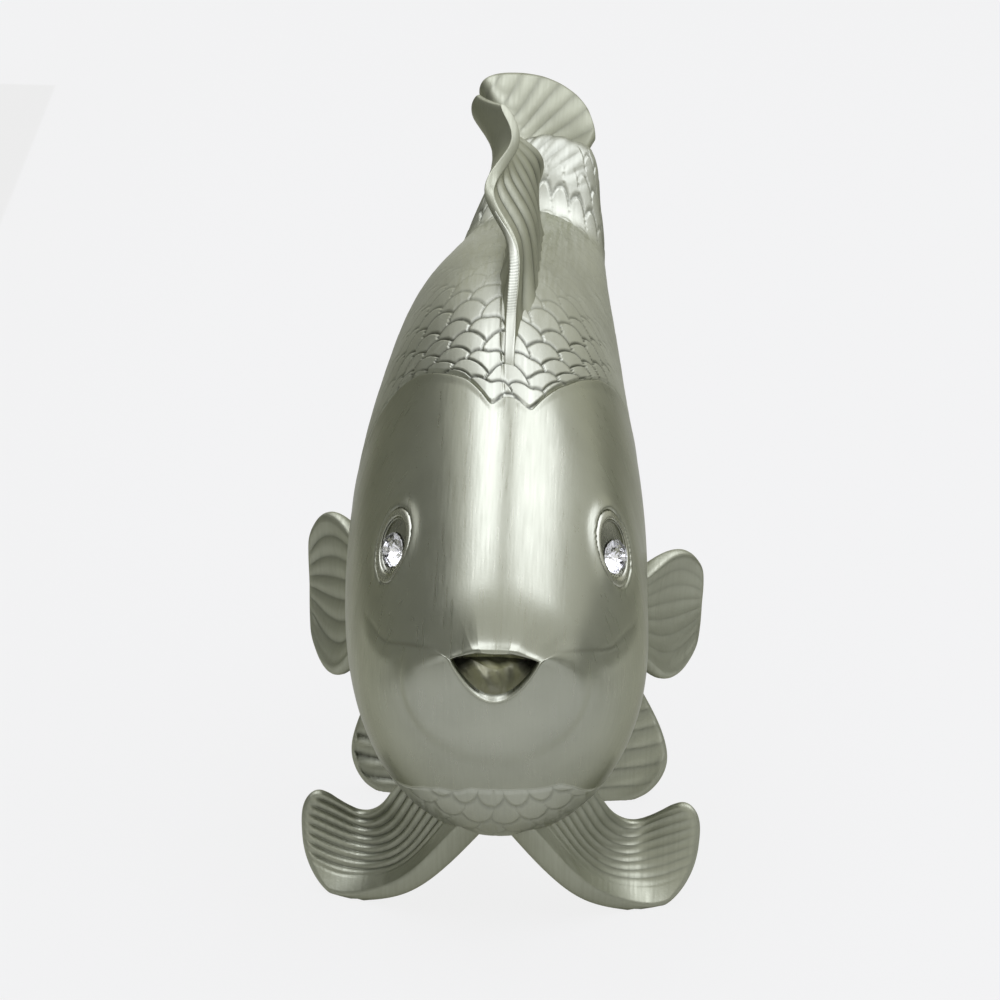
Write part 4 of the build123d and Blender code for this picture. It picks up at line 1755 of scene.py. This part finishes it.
    def card(
        self, name: str, tones: tuple[str, str], near: tuple[float, float], far: tuple[float, float],
        height: float,
    ) -> bpy.types.Object:
        """Stand a grey card beside the figurine, out of the picture, to shade one side of it.

        Args:
            name: Name of the card.
            tones: Its colours at the foot and at the top.
            near: Across and along places of its near end, in metres.
            far: Across and along places of its far end, in metres.
            height: Its height, in metres.

        Returns:
            The card, which lies on the floor and is folded up to stand.
        """
        made = bpy.data.materials.new(f"matt_painted_{name}")
        made.use_nodes = True
        tree = made.node_tree
        shader = tree.nodes["Principled BSDF"]
        shader.inputs["Roughness"].default_value = 0.8
        place = add_node(tree, "ShaderNodeTexCoord")
        split = add_node(tree, "ShaderNodeSeparateXYZ", links={0: place.outputs["Object"]})
        up = add_node(
            tree, "ShaderNodeMapRange", {"From Min": 0.0, "From Max": 0.7 * height},
            {"Value": split.outputs["Z"]},
        )
        tone = add_node(
            tree, "ShaderNodeMix", {"data_type": "RGBA", 6: linear(tones[0]), 7: linear(tones[1])},
            {0: up.outputs[0]},
        )
        tree.links.new(tone.outputs[2], shader.inputs["Base Color"])
        # A foot 50 mm wide lies just over the floor, and the rest stands and leans away
        sign = math.copysign(1, near[0])
        corners = []
        for x, y in (near, far):
            corners += [(x, y, 0.0005), (x + 0.05 * sign, y, 0.0005), (x + 0.07 * sign, y, height)]
        mesh = bpy.data.meshes.new(name)
        mesh.from_pydata(corners, [], [(0, 1, 4, 3), (1, 2, 5, 4)])
        mesh.materials.append(made)
        card = bpy.data.objects.new(name, mesh)
        # Only the metal sees it, so it hides nothing from a camera on its side
        card.visible_camera = False
        bpy.context.scene.collection.objects.link(card)
        return card

    def build(self) -> None:
        """Build the whole studio."""
        self.camera()
        self.world()
        self.floor()
        self.card(
            "left_card", tones=("bcbcae", "a6a69a"), near=(-0.085, -0.46), far=(-0.185, 0.60), height=0.23
        )
        self.card(
            "right_card", tones=("ccccc0", "c8c8bc"), near=(0.115, -0.34), far=(0.200, 0.60), height=0.10
        )
        # Two boxes overhead with a gap between, the right one wider and a little dimmer
        self.box_lamp(
            "left_box", middle=(-0.55, 0.13, 1.5), aim=(-0.55, 0.13, 0.0), size=(0.90, 2.24), radiance=3.0
        )
        self.box_lamp(
            "right_box", middle=(1.09, 0.13, 1.5), aim=(1.09, 0.13, 0.0), size=(1.52, 2.24), radiance=2.65
        )
        bpy.context.scene.view_settings.view_transform = "Standard"


def main() -> None:
    """Build the studio and the figurine, piece by piece."""
    logging.basicConfig(level=logging.INFO, format="%(message)s")
    Studio().build()
    brushed, cast = BRUSHED_NICKEL.material(), CAST_NICKEL.material()
    burnished, rough = BURNISHED_NICKEL.material(), ROUGH_NICKEL.material()
    matt = FIN_NICKEL.material()
    crystal, foil = CRYSTAL.material(), MIRROR_FOIL.material()
    head = Head()
    head.build(brushed)
    head.build_mouth(rough)
    BodyShells().build(cast)
    for side in Side:
        eye = Eye(EyePlace(side))
        eye.build_setting(burnished)
        eye.build_stone(crystal, foil)
        for kind in FinKind:
            PairedFin(kind, side).build(matt)
    dorsal = DorsalFin()
    dorsal.build(matt)
    dorsal.build_edge(cast)
    tail = Tail()
    tail.build_stalk(cast)
    tail.build_fan(matt)
    for node, finish in (("body_core", CAST_RESIN), ("tail_dowel", DRAWN_STEEL)):
        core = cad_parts[node]
        core.data.materials.clear()
        core.data.materials.append(finish.material())
        log.info("%s keeps its shape from the model", node)


if __name__ == "__main__":
    main()
